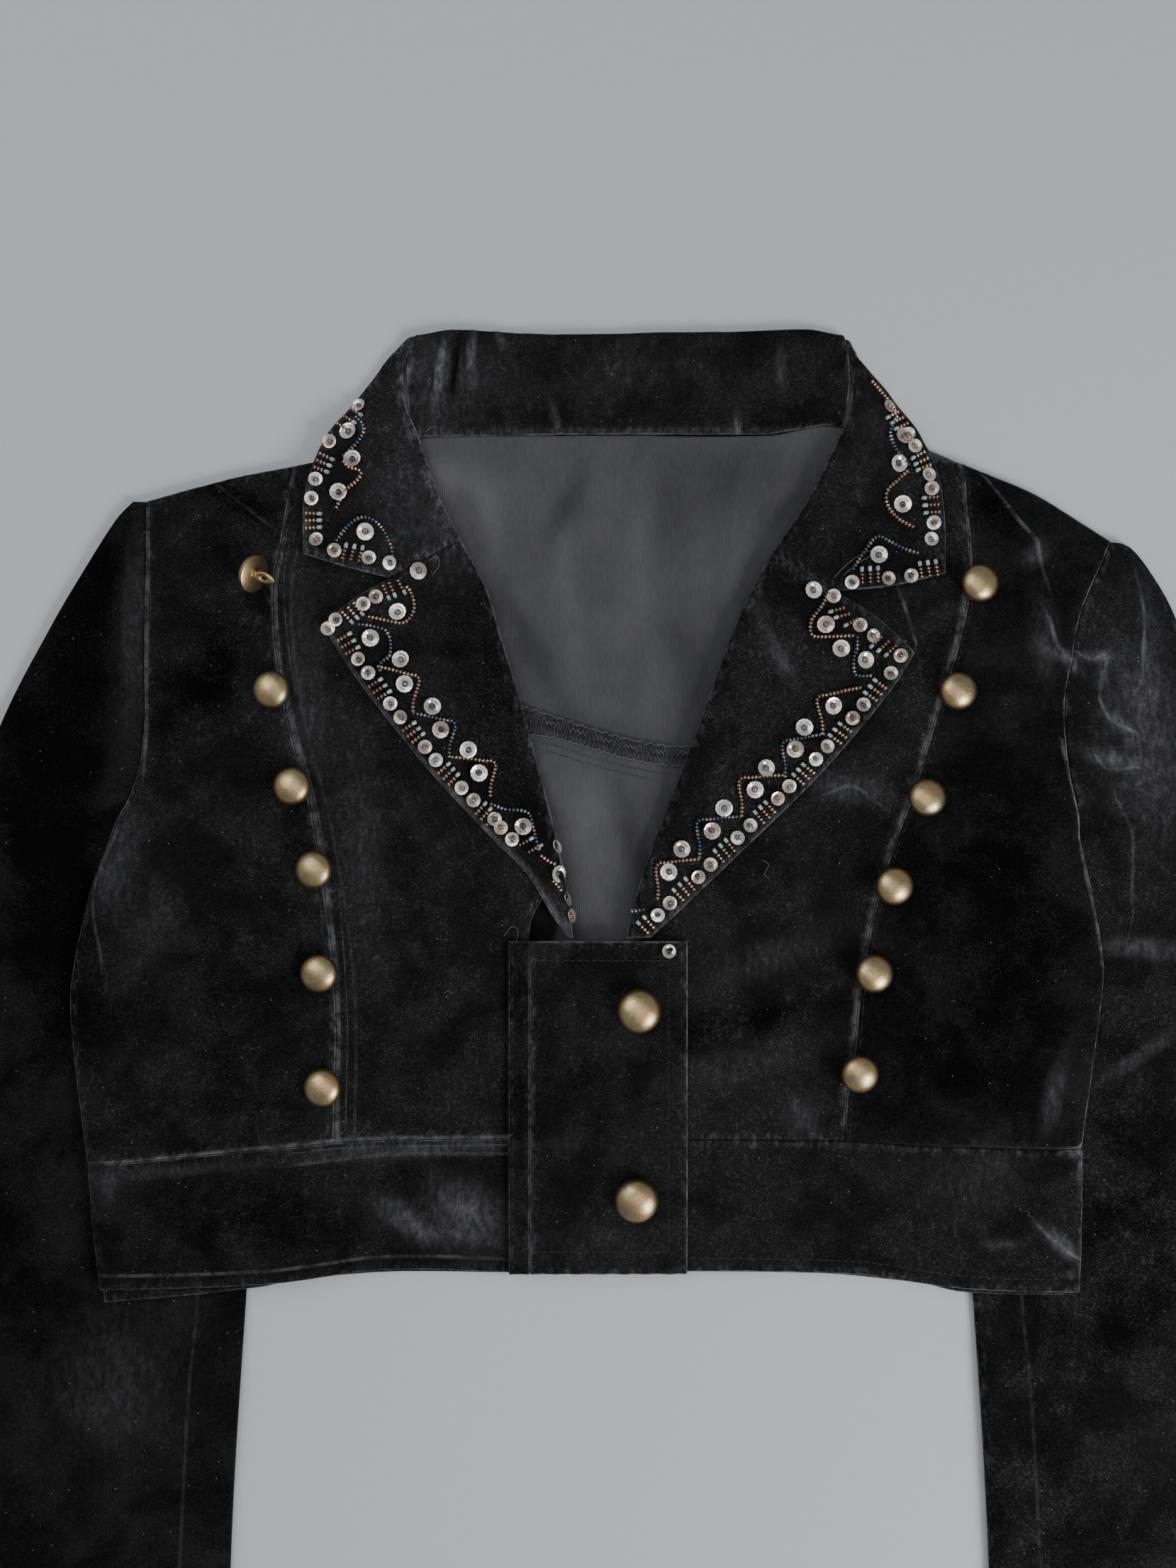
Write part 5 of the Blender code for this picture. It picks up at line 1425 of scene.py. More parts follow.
def stand_row(y, z):
    """One row across the collar's back, from a point of its section."""
    over = z > STAND_LEVEL + STAND_RADIUS
    end = y - STAND_CORNER * ease(*STAND_TOP, y)
    first = x_at(STAND_LEFT, end) if over else STAND_UNDER_X[0]
    last = x_at(STAND_RIGHT, end) if over else STAND_UNDER_X[1]
    wide = last - first
    across = first + wide * shares_of(wide, wide / STAND_COLUMNS)
    to_side = np.minimum(across - first, last - across)
    drop = STAND_CORNER * ease(16, 0, to_side) * ease(*STAND_TOP, y)
    rise = -drop - y_at(STAND_SAG, across) * ease(366, 399, y)
    level = np.full(across.shape, z)
    if over:
        rise = rise + (y_at(BACK_NECK, across) - NECK_SEAM_Y - 0.6) * ease(374, 357.7, y)
        level = level + STAND_DOME * np.sin(np.pi * np.clip((y - NECK_SEAM_Y) / 44, 0, 1))
        level = level + folds_at(STAND_CREASES, across, np.full(across.shape, y))
    return np.stack([across, y + rise, level], axis=-1)


def build_collar():
    for half in (LEFT, RIGHT):
        turned_piece("collar", half, collar_patch(half), collar_height(half), 20 * half["sign"],
                     node=f"collar_fall_{half['name']}")
    section = stand_section()
    middle = np.array([stand_row(y, z) for y, z in section])[:, ::-1]
    far = lengths_along(section)
    to_ends = np.minimum(far, far[-1] - far)[:, None]
    across = np.abs(middle[..., 0] - middle[:, :1, 0])
    edge = np.minimum(to_ends, np.minimum(across, across[:, -1:] - across))
    fields = surface_fields(middle[..., 0], middle[..., 1], edge)
    wall_piece("cloth_collar_back", middle, edge, COLLAR_WALL, 0.9, fields, [velvet()],
               ["collar_fall_back", "collar_stand"])


def sleeve_patches(half, inset=0.0):
    """A sleeve's two patches, cuff to underarm and underarm to shoulder."""
    sign = half["sign"]
    inner = moved(half["sleeve_inner"], sign * inset)
    outer = moved(half["sleeve_outer"], -sign * inset)
    split = (x_at(outer, SLEEVE_SPLIT_Y), SLEEVE_SPLIT_Y)
    parts = (
        (inner[:UNDERARM_INDEX], [*[at for at in outer if at[1] < UNDERARM_Y], split]),
        (inner[UNDERARM_INDEX - 1:], [split, *[at for at in outer if at[1] > UNDERARM_Y]]),
    )
    patches = []
    for part in parts:
        first, last = [smooth(line) for line in part][::sign]
        patches.append(([first[0], last[0]], [first[-1], last[-1]], first, last))
    return patches


def sleeve_seam(half):
    """The lengthwise seam, which closes in on the inner edge towards the underarm."""
    inner = half["sleeve_inner"][:UNDERARM_INDEX - 1]
    width = half["sign"] * SLEEVE_SEAM_WIDTH
    return smooth([(x + width * (1 - 0.8 * ease(60, 155, y)), y) for x, y in inner])


def tube(x, y, top, low, fields):
    """Points, faces and fields of a flat tube that is open at the cuff."""
    upper, lower = (np.stack([x, y, level], -1) for level in (top, low))
    points, faces, free = two_sided(upper, lower, open_start=True)
    return points, faces, joined_fields(fields, free)


def sleeve_skin(half, x, y):
    """The outer skin of a sleeve."""
    edge = to_outline(x, y, closed=False)
    seam = sleeve_seam(half)
    rim = 1.7 - 1.3 * ease(UNDERARM_Y - 4, UNDERARM_Y + 10, y)
    crown = (sleeve_height(x, y) + SLEEVE_WALL) / 2
    swell = swelling(edge, rim)
    groove = 0.5 * bell(distance_to(seam, x, y), 1.4) * (y < 160) * ease(0, 4, edge)
    # The sleeve's seam and creases get painted highlight lines
    fields = surface_fields(x, y, edge + 0.8, [(seam, 0.25), *SLEEVE_LINES])
    return tube(x, y, crown * (1 + swell) - groove, crown * (1 - swell), fields)


def sleeve_hollow(half):
    """The inner skin of a sleeve, turned inwards."""
    x, y = plan_grid(sleeve_patches(half, SLEEVE_WALL + 0.3), 4.0)
    edge = to_outline(x, y, closed=False)
    roof = np.maximum(sleeve_height(x, y), SLEEVE_WALL + SLEEVE_GAP)
    level = 0.5 * (SLEEVE_WALL + roof)
    spread = 0.5 * (roof - SLEEVE_WALL) * swelling(edge, 0.9)
    fields = surface_fields(x, y, edge + 2)
    points, faces, fields = tube(x, y, level + spread, level - spread, fields)
    return points, faces[:, ::-1], fields


def build_sleeve(half):
    """One sleeve as a flat tube: outer skin, and inside it the hollow open at the cuff."""
    side = half["name"]
    x, y = plan_grid(sleeve_patches(half), 2.3)
    points, faces, fields = sleeve_skin(half, x, y)
    inner_points, inner_faces, inner_fields = sleeve_hollow(half)
    fields = {key: np.concatenate([fields[key], inner_fields[key]]) for key in fields}
    piece = new_object(
        f"cloth_sleeve_{side}", np.concatenate([points, inner_points]),
        [faces, inner_faces + len(points)], fields, [velvet(), jersey()],
    )
    bridge_cuff(piece)
    (width, length), area = cut_of(np.stack([x, y, 0 * x], -1))
    nodes = [f"sleeve_{side}_{layer}" for layer in ("top", "under", "strip")]
    dress(piece, nodes, ((2 * width, length), 2 * area))


def bridge_cuff(piece):
    """Joins the outer and the inner skin round the open cuff."""
    form = bmesh.new()
    form.from_mesh(piece.data)
    bmesh.ops.bridge_loops(form, edges=[edge for edge in form.edges if edge.is_boundary])
    form.to_mesh(piece.data)
    form.free()
    piece.data.shade_smooth()


# Small pieces

def only(obj):
    bpy.ops.object.select_all(action="DESELECT")
    bpy.context.view_layer.objects.active = obj
    obj.select_set(True)


def applied(obj):
    only(obj)
    bpy.ops.object.transform_apply(location=True, rotation=True, scale=True)
    return obj


def primitive(kind, name, **sizes):
    """A new object by the mesh operator of that kind."""
    bpy.ops.object.select_all(action="DESELECT")
    getattr(bpy.ops.mesh, f"primitive_{kind}_add")(**sizes)
    obj = bpy.context.object
    obj.name = name
    return obj


def edited(obj):
    """Goes into edit mode with everything selected."""
    applied(obj)
    bpy.ops.object.mode_set(mode="EDIT")
    bpy.ops.mesh.select_all(action="SELECT")


def button_model(radius, loop_height, strap):
    """A domed button on a shank: dome, rolled rim, closed back and loop."""
    dome = primitive("uv_sphere", "button_dome", segments=40, ring_count=24, radius=radius * MM,
                     location=(0, 0, 0))
    edited(dome)
    cut = (0, 0, 0.02 * radius * MM)
    bpy.ops.mesh.bisect(plane_co=cut, plane_no=(0, 0, 1), clear_inner=True)
    bpy.ops.mesh.select_all(action="SELECT")
    bpy.ops.transform.resize(value=(1, 1, DOME_FLATNESS))
    bpy.ops.mesh.select_all(action="DESELECT")
    bpy.ops.mesh.select_non_manifold()
    for width, drop in BUTTON_BACK:
        bpy.ops.mesh.extrude_edges_move()
        bpy.ops.transform.resize(value=(width, width, 1))
        bpy.ops.transform.translate(value=(0, 0, -drop * MM))
    bpy.ops.mesh.edge_face_add()
    bpy.ops.mesh.select_all(action="SELECT")
    bpy.ops.mesh.normals_make_consistent(inside=False)
    bpy.ops.object.mode_set(mode="OBJECT")
    dome.location = (0, 0, DOME_RISE * MM)
    applied(dome)
    loop = primitive("torus", "button_loop", major_segments=20, minor_segments=8,
                     major_radius=LOOP_RADIUS * MM, minor_radius=strap * MM, location=(0, 0, 0),
                     rotation=(math.pi / 2, 0, 0))
    applied(loop)
    loop.scale = (1.0, 1.0, loop_height / LOOP_RADIUS)
    loop.location = (0, 0, (LOOP_RISE - loop_height) * MM)
    applied(loop)
    only(dome)
    loop.select_set(True)
    bpy.context.view_layer.objects.active = dome
    bpy.ops.object.join()
    bpy.ops.object.shade_smooth_by_angle(angle=math.radians(50))
    return dome


def build_buttons():
    metal = brass_finish(bpy.context.scene.jacket_metal)
    models = {"side": button_model(SIDE_BUTTON_RADIUS, *LOOP),
              "placket": button_model(PLACKET_BUTTON_RADIUS, *LOOP),
              "overturned": button_model(SIDE_BUTTON_RADIUS, *OVERTURNED_LOOP)}
    for node, (lean, toward) in BUTTON_LEANS.items():
        overturned = lean > 90
        kind = "overturned" if overturned else "placket" if "placket" in node else "side"
        mesh = models[kind].data.copy()
        turn = math.radians(toward)
        axis = Vector((-math.sin(turn), math.cos(turn), 0))
        spin = Matrix.Rotation(turn * (1.36 if overturned else 1.7), 4, "Z")
        mesh.transform(Matrix.Rotation(math.radians(lean), 4, axis) @ spin)
        corners = np.array([point.co for point in mesh.vertices])
        if overturned:
            corners = corners[:len(corners) * 4 // 5]
        low, high = corners.min(axis=0), corners.max(axis=0)
        wanted_low, wanted_high = (np.array(corner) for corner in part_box(node))
        shift = (wanted_low + wanted_high - low - high) / 2
        shift[2] = wanted_high[2] - high[2]
        mesh.transform(Matrix.Translation(shift))
        mesh.materials.clear()
        mesh.materials.append(metal)
        dress(linked(f"brass_{node}", mesh), [node])
    for model in models.values():
        bpy.data.objects.remove(model)


def top_of(height, wall):
    def top(x, y):
        return height(x, y) + wall
    return top


def tops():
    """The upper surface that trimming lies on, by piece."""
    surfaces = {
        "front": top_of(front_height, BODY_WALL),
        "placket": top_of(over_front, PLACKET_WALL),
        "back": top_of(back_height, BODY_WALL),
    }
    for half in (LEFT, RIGHT):
        surfaces[f"lapel_{half['name']}"] = top_of(lapel_height(half), LAPEL_WALL)
        surfaces[f"collar_{half['name']}"] = top_of(collar_height(half), COLLAR_WALL)
    return surfaces


class Scatter:
    """Places for copies of one small model, gathered before they are made."""

    def __init__(self):
        self.points = []
        self.turns = []
        self.scales = []
        self.tints = []

    def add(self, top, x, y, heading, lift, scale=(1, 1, 1), tint=0.5, tilt=(0.0, 0.0)):
        """One copy at a plan place, its X axis along the heading, square to the surface."""
        reach = 1.2
        z = top(np.array([x, x + reach, x - reach, x, x]),
                np.array([y, y, y, y + reach, y - reach]))
        normal = Vector((z[2] - z[1] + tilt[0], z[4] - z[3] + tilt[1], 2 * reach)).normalized()
        forward = Vector((math.cos(heading), math.sin(heading), 0))
        forward = (forward - normal * forward.dot(normal)).normalized()
        turn = Matrix((forward, normal.cross(forward), normal)).transposed().to_euler()
        self.points.append((x, y, float(z[0]) + lift))
        self.turns.append(tuple(turn))
        self.scales.append(scale)
        self.tints.append(tint)

    def build(self, name, model, finish, slot, faceted=False):
        """A joined mesh of all copies, by instances that are made real."""
        mesh = bpy.data.meshes.new(name)
        mesh.from_pydata(placed(np.array(self.points)).tolist(), [], [])
        for field, kind, key, values in (
            ("turn", "FLOAT_VECTOR", "vector", self.turns),
            ("size", "FLOAT_VECTOR", "vector", self.scales),
            ("tint", "FLOAT", "value", self.tints),
        ):
            attribute = mesh.attributes.new(field, kind, "POINT")
            attribute.data.foreach_set(key, np.array(values, dtype=np.float32).ravel())
        obj = linked(name, mesh)
        modifier = obj.modifiers.new("Copies", "NODES")
        modifier.node_group = copies_group(model)
        only(obj)
        bpy.ops.object.modifier_apply(modifier=modifier.name)
        finished(obj, finish, faceted)
        bpy.data.objects.remove(model)


def finished(obj, finish, faceted=False):
    """Gives a trimming its one look and ties it to the frame."""
    obj.data.materials.clear()
    obj.data.materials.append(finish)
    if faceted:
        obj.data.shade_flat()
    else:
        obj.data.shade_smooth()
    dress(obj, [])


def copies_group(model):
    """Geometry nodes that put a copy of a model on every point and make it real."""
    group = bpy.data.node_groups.new(f"copies of {model.name}", "GeometryNodeTree")
    for way in ("INPUT", "OUTPUT"):
        group.interface.new_socket("Geometry", in_out=way, socket_type="NodeSocketGeometry")
    start, end, copies, real, shape, angles = (group.nodes.new(kind) for kind in (
        "NodeGroupInput", "NodeGroupOutput", "GeometryNodeInstanceOnPoints",
        "GeometryNodeRealizeInstances", "GeometryNodeObjectInfo", "FunctionNodeEulerToRotation"))
    shape.inputs["Object"].default_value = model
    link = group.links.new
    link(start.outputs[0], copies.inputs["Points"])
    link(shape.outputs["Geometry"], copies.inputs["Instance"])
    for name, target in (("turn", angles.inputs[0]), ("size", copies.inputs["Scale"])):
        values = group.nodes.new("GeometryNodeInputNamedAttribute")
        values.data_type = "FLOAT_VECTOR"
        values.inputs["Name"].default_value = name
        link(values.outputs["Attribute"], target)
    link(angles.outputs[0], copies.inputs["Rotation"])
    link(copies.outputs["Instances"], real.inputs[0])
    link(real.outputs[0], end.inputs[0])
    return group


def bead_model(name, long, wide, segments=8):
    """A short rounded barrel along X."""
    bead = primitive("cylinder", name, vertices=segments, radius=wide / 2 * MM, depth=long * MM,
                     location=(0, 0, 0), rotation=(0, math.pi / 2, 0))
    edited(bead)
    bpy.ops.mesh.bevel(offset=0.33 * min(long, wide) * MM, segments=1, affect="EDGES")
    bpy.ops.object.mode_set(mode="OBJECT")
    return bead


def sequin_model(across):
    """A cupped disc: a circle filled, inset ring by ring and lowered towards its middle."""
    depth = sum(drop for _, drop in SEQUIN_RINGS)
    disc = primitive("circle", "cup", vertices=12, radius=across / 2 * MM, fill_type="NGON",
                     location=(0, 0, depth * MM))
    edited(disc)
    for width, drop in SEQUIN_RINGS:
        bpy.ops.mesh.inset(thickness=width * MM, depth=0)
        bpy.ops.transform.translate(value=(0, 0, -drop * MM))
    bpy.ops.object.mode_set(mode="OBJECT")
    wall = disc.modifiers.new("Wall", "SOLIDIFY")
    wall.thickness = SEQUIN_WALL * MM
    wall.offset = -1
    only(disc)
    bpy.ops.object.modifier_apply(modifier=wall.name)
    return disc


class EdgePath:
    """A line along an edge that gives plan places by length along it and depth inwards."""

    def __init__(self, line, inward):
        self.line = np.array(line)
        self.lengths = lengths_along(self.line)
        self.inward = inward

    def base(self, along_it):
        """The place on the edge itself, no further than its ends."""
        return np.array([np.interp(along_it, self.lengths, column) for column in self.line.T])

    def at(self, along_it, depth):
        """A plan place and the edge's heading there."""
        reach = 5.0
        step = self.base(along_it + reach) - self.base(along_it - reach)
        heading = math.atan2(step[1], step[0])
        normal = self.inward * np.array([-math.sin(heading), math.cos(heading)])
        beyond = min(0.0, along_it) + max(0.0, along_it - self.lengths[-1])
        forward = np.array([math.cos(heading), math.sin(heading)]) * beyond
        return self.base(along_it) + normal * depth + forward, heading


def wobble(index, spread=1.0):
    """A small even-handed offset from -spread to spread that changes from item to item."""
    return spread * math.sin(12.9898 * index + 4.1)


class Edging:
    """The beads and sequins, gathered by kind."""

    def __init__(self):
        self.surfaces = tops()
        self.copper, self.iris, self.bugles, self.large, self.small, self.cores, self.holes = (
            Scatter() for _ in range(7))

    def string(self, piece, line, beads):
        """Beads threaded one behind the other along a line."""
        length = lengths_along(line)[-1]
        count = int(length / BEAD_PITCH)
        points = along(line, [k * BEAD_PITCH / length for k in range(count + 1)])
        for k, (x, y) in enumerate(points):
            step = points[min(len(points) - 1, k + 1)] - points[max(0, k - 1)]
            heading = math.atan2(step[1], step[0]) + wobble(k, 0.06)
            scale = 1 + wobble(k + 3, 0.06)
            getattr(self, beads).add(
                self.surfaces[piece], x + wobble(k, 0.1), y + wobble(k + 7, 0.1), heading,
                BEAD_LIFT, (1, scale, scale), 0.5 + wobble(k * 1.37, 0.5))

    def sequin(self, piece, place, big, lean=(0.0, 0.0)):
        """A cup, the dark bead that holds it, and between them a dark disc that paints the shade
        round the bead.
        """
        index = len(self.large.points) + len(self.small.points)
        at = (self.surfaces[piece], *place, wobble(index, 3.0))
        tilt = (wobble(index * 1.3, 0.5) + lean[0], wobble(index * 1.7 + 11, 0.5) + lean[1])
        sunk = LEAN_SINK * math.hypot(*lean)
        middle = 0.5 if big else 0.3
        cups = self.large if big else self.small
        cups.add(*at, CUP_LIFT - sunk, tint=middle + wobble(index * 2.3, middle), tilt=tilt)
        self.cores.add(*at, CORE_LIFT - sunk, tint=0.5 + wobble(index * 1.9, 0.5), tilt=tilt)
        self.holes.add(*at[:3], 0, HOLE_AND_SHADE_LIFT - sunk, tilt=tilt)

    def rung(self, piece, foot, heading, seed):
        """Three seed beads and a bugle, threaded across the edge."""
        top = self.surfaces[piece]
        step = np.array([math.cos(heading), math.sin(heading)])
        for k in range(RUNG_BEADS):
            self.copper.add(top, *(foot + step * (0.5 + k) * BEAD_PITCH), heading, BEAD_LIFT,
                            tint=0.5 + wobble(seed + k, 0.5))
        end = foot + step * (RUNG_BEADS * BEAD_PITCH + BUGLE[0] / 2 + 0.1)
        self.bugles.add(top, *end, heading, BEAD_LIFT, tint=0.5 + wobble(seed * 1.7, 0.5))

    def row(self, piece, path, row):
        """Groups of rungs and pairs of sequins along an edge."""
        at, end = row["row"]
        while at < end:
            for k in range(RUNG_COUNT):
                foot, heading = path.at(at + k * RUNG_PITCH, row["start"])
                if at + k * RUNG_PITCH < end:
                    heading += path.inward * math.pi / 2 + wobble(at + k, 0.09)
                    self.rung(piece, foot, heading, at + k)
            for offset in row["sequins"]:
                if at + offset < end + ROW_OVERRUN:
                    depth = row["depth"] + wobble(at, 0.4)
                    self.sequin(piece, path.at(at + offset, depth)[0], SMALL)
            at += row["period"]
        for along_it, depth in row["extra"]:
            self.sequin(piece, path.at(along_it, depth)[0], SMALL)

    def zigzag(self, piece, path, first, count):
        """A bead line that runs to and fro, with a sequin in each bay."""
        for k in range(count):
            begin = first + k * ZIGZAG_PERIOD
            period = ZIGZAG_PERIOD * (1 + wobble(k + first, 0.04))
            deep = 1 + wobble(k * 2.1 + first, 0.05)
            corners = [path.at(begin + share * period, depth * deep)[0] for share, depth in ZIGZAG]
            self.string(piece, smooth(corners, 8), ("copper", "iris")[k % 2])
            for share, depth in (BAY_SEQUIN, OUTER_SEQUIN)[:1 + (k < count - 1)]:
                self.sequin(piece, path.at(begin + share * period, depth)[0], LARGE)


def build_edging():
    trim = bpy.context.scene.jacket_trim
    edging = Edging()
    for piece, half, edge, row in EDGINGS:
        row = {**EDGING, **row}
        line, inward = smooth(half[edge]), half["sign"]
        if edge == "lapel_edge":
            line, inward = line[::-1], -inward
        path = EdgePath(line, inward)
        edging.row(piece, path, row)
        edging.zigzag(piece, path, *row["zigzag"])
    for piece, strings in LOOPS:
        for beads, path in strings:
            edging.string(piece, smooth(path, 5), beads)
    for piece, sequins in LONE_SEQUINS:
        for sequin in sequins:
            edging.sequin(piece, *sequin)
    for piece, at, toward, step, count in LONE_RUNGS:
        for k in range(count):
            foot = np.array(at) + k * np.array(step)
            edging.rung(piece, foot, math.radians(toward) + wobble(k, 0.06), k)

    def glass(name, shades, metallic, roughness):
        return bead_finish(name, [getattr(trim, shade) for shade in shades], metallic, roughness)

    edging.copper.build(
        "beads_copper", bead_model("seed", *SEED_BEAD),
        glass("copper beads", ("copper", "copper_light", "copper_gold"), 0.85, 0.2), "copper_beads")
    shades = ("iris_blue", "iris_green", "iris_violet", "iris_gold", "iris_light")
    edging.iris.build("beads_iris", bead_model("seed", *SEED_BEAD),
                      glass("iris beads", shades, 0.8, 0.16), "iris_beads")
    edging.bugles.build("beads_bugle", bead_model("bugle", *BUGLE, 6),
                        glass("pale bugles", ("bugle", "bugle_light"), 0.25, 0.14), "pale_beads")
    pearl = sequin_finish(trim)
    edging.large.build("sequins_large", sequin_model(LARGE_SEQUIN), pearl, "sequins", True)
    edging.small.build("sequins_small", sequin_model(SMALL_SEQUIN), pearl, "sequins", True)
    # The dark disc under each core bead fills the sequin's opening and paints a shade ring round
    # the bead
    hole = primitive("cylinder", "hole", vertices=10, radius=HOLE_AND_SHADE_RADIUS * MM, depth=0.1 * MM)
    edging.holes.build("sequin_holes", hole, thread_finish("dark thread", trim.core), "thread",
                       True)
    edging.cores.build("beads_core", bead_model("core", *CORE_BEAD),
                       glass("dark beads", ("core", "core_light"), 0.6, 0.2), "copper_beads")


# Sewing

def stitch_lines():
    """Every row of machine stitching: the surface it lies on and its line in plan."""
    left, right, waist = (smooth(line) for line in (
        LEFT["princess"], RIGHT["princess"], WAIST_SEAM[:4]))
    hem_left = smooth([*FRONT_HEM[:3], (STRIP_LEFT - 1, 4.2)])
    hem_right = smooth([(PLACKET_RIGHT + 1, 4.6), *FRONT_HEM[5:]])
    on_front = [
        moved(left[:62], -2.0, 0),
        moved(right, 2.0, 0),
        moved(waist[2:], 0, 1.9),
        moved([*waist[-8:], (STRIP_LEFT - 1, 61)], 0, 1.9),
        [(-122, 51.5), (-105, 52.8), (-82, 54.4), (STRIP_LEFT - 2, 54.6)],
        moved(hem_left[3:], 0, 5.6),
        moved(hem_right[:-2], 0, 5.8),
    ]
    edge, inner = PLACKET_LEFT + 1.6, PLACKET_RIGHT - 8
    low, high = PLACKET_BOTTOM + 10, PLACKET_TOP - 8
    upright = [[(x, PLACKET_BOTTOM + 2), (x, PLACKET_TOP - 2)] for x in (edge, STRIP_LEFT + 1.6)]
    on_placket = [[(edge, low), (inner, low)], [(inner, low), (inner, high)],
                  [(inner, high), (edge, high)], *upright]
    return [("front", line) for line in on_front] + [("placket", line) for line in on_placket]


def build_stitching():
    """Machine stitches as short sunk threads, one after the other along each row."""
    surfaces = tops()
    stitches = Scatter()
    for on, line in stitch_lines():
        count = int(lengths_along(line)[-1] / STITCH_PITCH)
        shares = [(k + 0.5) / count for k in range(count)]
        points = along(line, shares)
        ahead = along(line, [min(1, share + 0.002) for share in shares])
        for k, (here, step) in enumerate(zip(points, ahead - points)):
            heading = math.atan2(step[1], step[0])
            stitches.add(surfaces[on], *here, heading, 0.12, tint=0.5 + wobble(k, 0.5))
    finish = thread_finish("black thread", bpy.context.scene.jacket_cloth.thread)
    stitches.build("stitches", bead_model("stitch", *STITCH, 6), finish, "thread")


def thread_curve(name, strands, width, finish):
    """Loose or looped threads: thin round curves made into one mesh."""
    data = bpy.data.curves.new(name, "CURVE")
    data.dimensions = "3D"
    data.bevel_depth = width / 2 * MM
    data.bevel_resolution = 1
    data.resolution_u = 2
    data.use_fill_caps = True
    for strand in strands:
        spline = data.splines.new("POLY")
        spline.points.add(len(strand) - 1)
        for point, place in zip(spline.points, placed(np.array(strand, dtype=float))):
            point.co = (*place, 1.0)
    only(linked(name, data))
    bpy.ops.object.convert(target="MESH")
    finished(bpy.context.object, finish)


def build_overlock():
    """The overlocked seam inside the back: bunched loops and two lines of chain stitch."""
    finish = thread_finish("charcoal thread", bpy.context.scene.jacket_cloth.overlock)
    seam = smooth(BACK_YOKE_SEAM)
    seam = seam[(seam[:, 0] > OVERLOCK_SPAN[0]) & (seam[:, 0] < OVERLOCK_SPAN[1])]
    top = tops()["back"]
    total = lengths_along(seam)[-1]
    strands = []
    for spacing, depths, step, stray, lifts, lift_stray in OVERLOCK:
        points = []
        for k, (x, y) in enumerate(along(seam, np.linspace(0, 1, int(total / spacing)))):
            widen = 1 + 0.4 * float(ease(-6, -34, x))
            py = y + (depths[k % 2] + wobble(k * step, stray)) * widen + wobble(k * 1.3, 0.3)
            level = float(top(np.array(x), np.array(py))) + lifts[k % 2] + wobble(k, lift_stray)
            points.append((x + wobble(k, 0.25), py, level))
        strands.append(points)
    thread_curve("overlock_threads", strands, OVERLOCK_WIDTH, finish)
    chain = Scatter()
    for drop, end in CHAINS:
        for k, (x, y) in enumerate(along(seam, np.linspace(0, 1, int(total / CHAIN_PITCH)))):
            if x < end:
                heading = math.radians(-14) + wobble(k, 0.15)
                chain.add(top, x, y + drop + wobble(k, 0.2), heading, 0.2)
    chain.build("chain_stitches", bead_model("stitch", *CHAIN_STITCH, 6), finish, "thread")


def build_threads():
    """Loose ends of thread where seams end."""
    surfaces = tops()
    strands = []
    for on, path in LOOSE_THREADS:
        points = smooth(path, 6)
        level = surfaces[on](points[:, 0], points[:, 1]) + LOOSE_LIFT
        strands.append(np.column_stack([points, level]))
    for x, dx, dy in NECK_THREADS:
        y = NECK_SEAM_Y + 1
        points = smooth([(x, y), (x + dx / 2, y + dy / 2 + 1), (x + dx, y + dy)], 5)
        strands.append(np.column_stack([points, np.full(len(points), NECK_THREAD_LEVEL)]))
    finish = thread_finish("worn thread", bpy.context.scene.jacket_cloth.loose_thread)
    thread_curve("loose_threads", strands, LOOSE_WIDTH, finish)


# Stage

def build_stage():
    """A plain floor, soft light from three sides and from all round, and the camera."""
    stage = bpy.context.scene.jacket_stage
    floor = primitive("plane", "floor", size=8.0, location=(0, 0, 0))
    floor.data.materials.append(floor_finish(stage))
    world = bpy.data.worlds.new("studio")
    world.use_nodes = True
    sky = world.node_tree.nodes["Background"]
    sky.inputs["Color"].default_value = (0.92, 0.95, 1.0, 1.0)
    sky.inputs["Strength"].default_value = stage.sky
    bpy.context.scene.world = world
    for name, place, size, power in (
        ("window light", (0.95, -0.75, 0.85), 0.55, stage.key),
        ("far window", (-0.9, 0.8, 1.3), 1.1, stage.fill),
        ("ceiling light", (0.1, 0.2, 2.2), 1.6, stage.top),
    ):
        data = bpy.data.lights.new(name, "AREA")
        data.shape = "SQUARE"
        data.size = size
        data.energy = power
        lamp = linked(name, data)
        lamp.location = place
        aim = Vector(LIT_PLACE) - Vector(place)
        lamp.rotation_euler = aim.to_track_quat("-Z", "Y").to_euler()
    build_camera(stage)


def build_camera(stage):
    """Straight above the garment, framed as the photograph is."""
    data = bpy.data.cameras.new("camera")
    data.sensor_width = SENSOR_WIDTH
    data.sensor_fit = "AUTO"
    seen = PHOTO_HEIGHT * MM_PER_PIXEL * MM
    data.lens = SENSOR_WIDTH * (stage.camera_height - CLOTH_LEVEL * MM) / seen
    data.clip_start = 0.01
    camera = linked("camera", data)
    x, y = PHOTO_MIDDLE
    camera.location = ((x - MIDDLE_X) * MM, (y - MIDDLE_Y) * MM, stage.camera_height)
    bpy.context.scene.camera = camera


# Settings that a user would change

def number(name, description, default, **more):
    return bpy.props.FloatProperty(name=name, description=description, default=default, **more)


def shade(name, description, default):
    return bpy.props.FloatVectorProperty(name=name, description=description, default=default,
                                         subtype="COLOR", size=3, min=0.0, max=1.0)


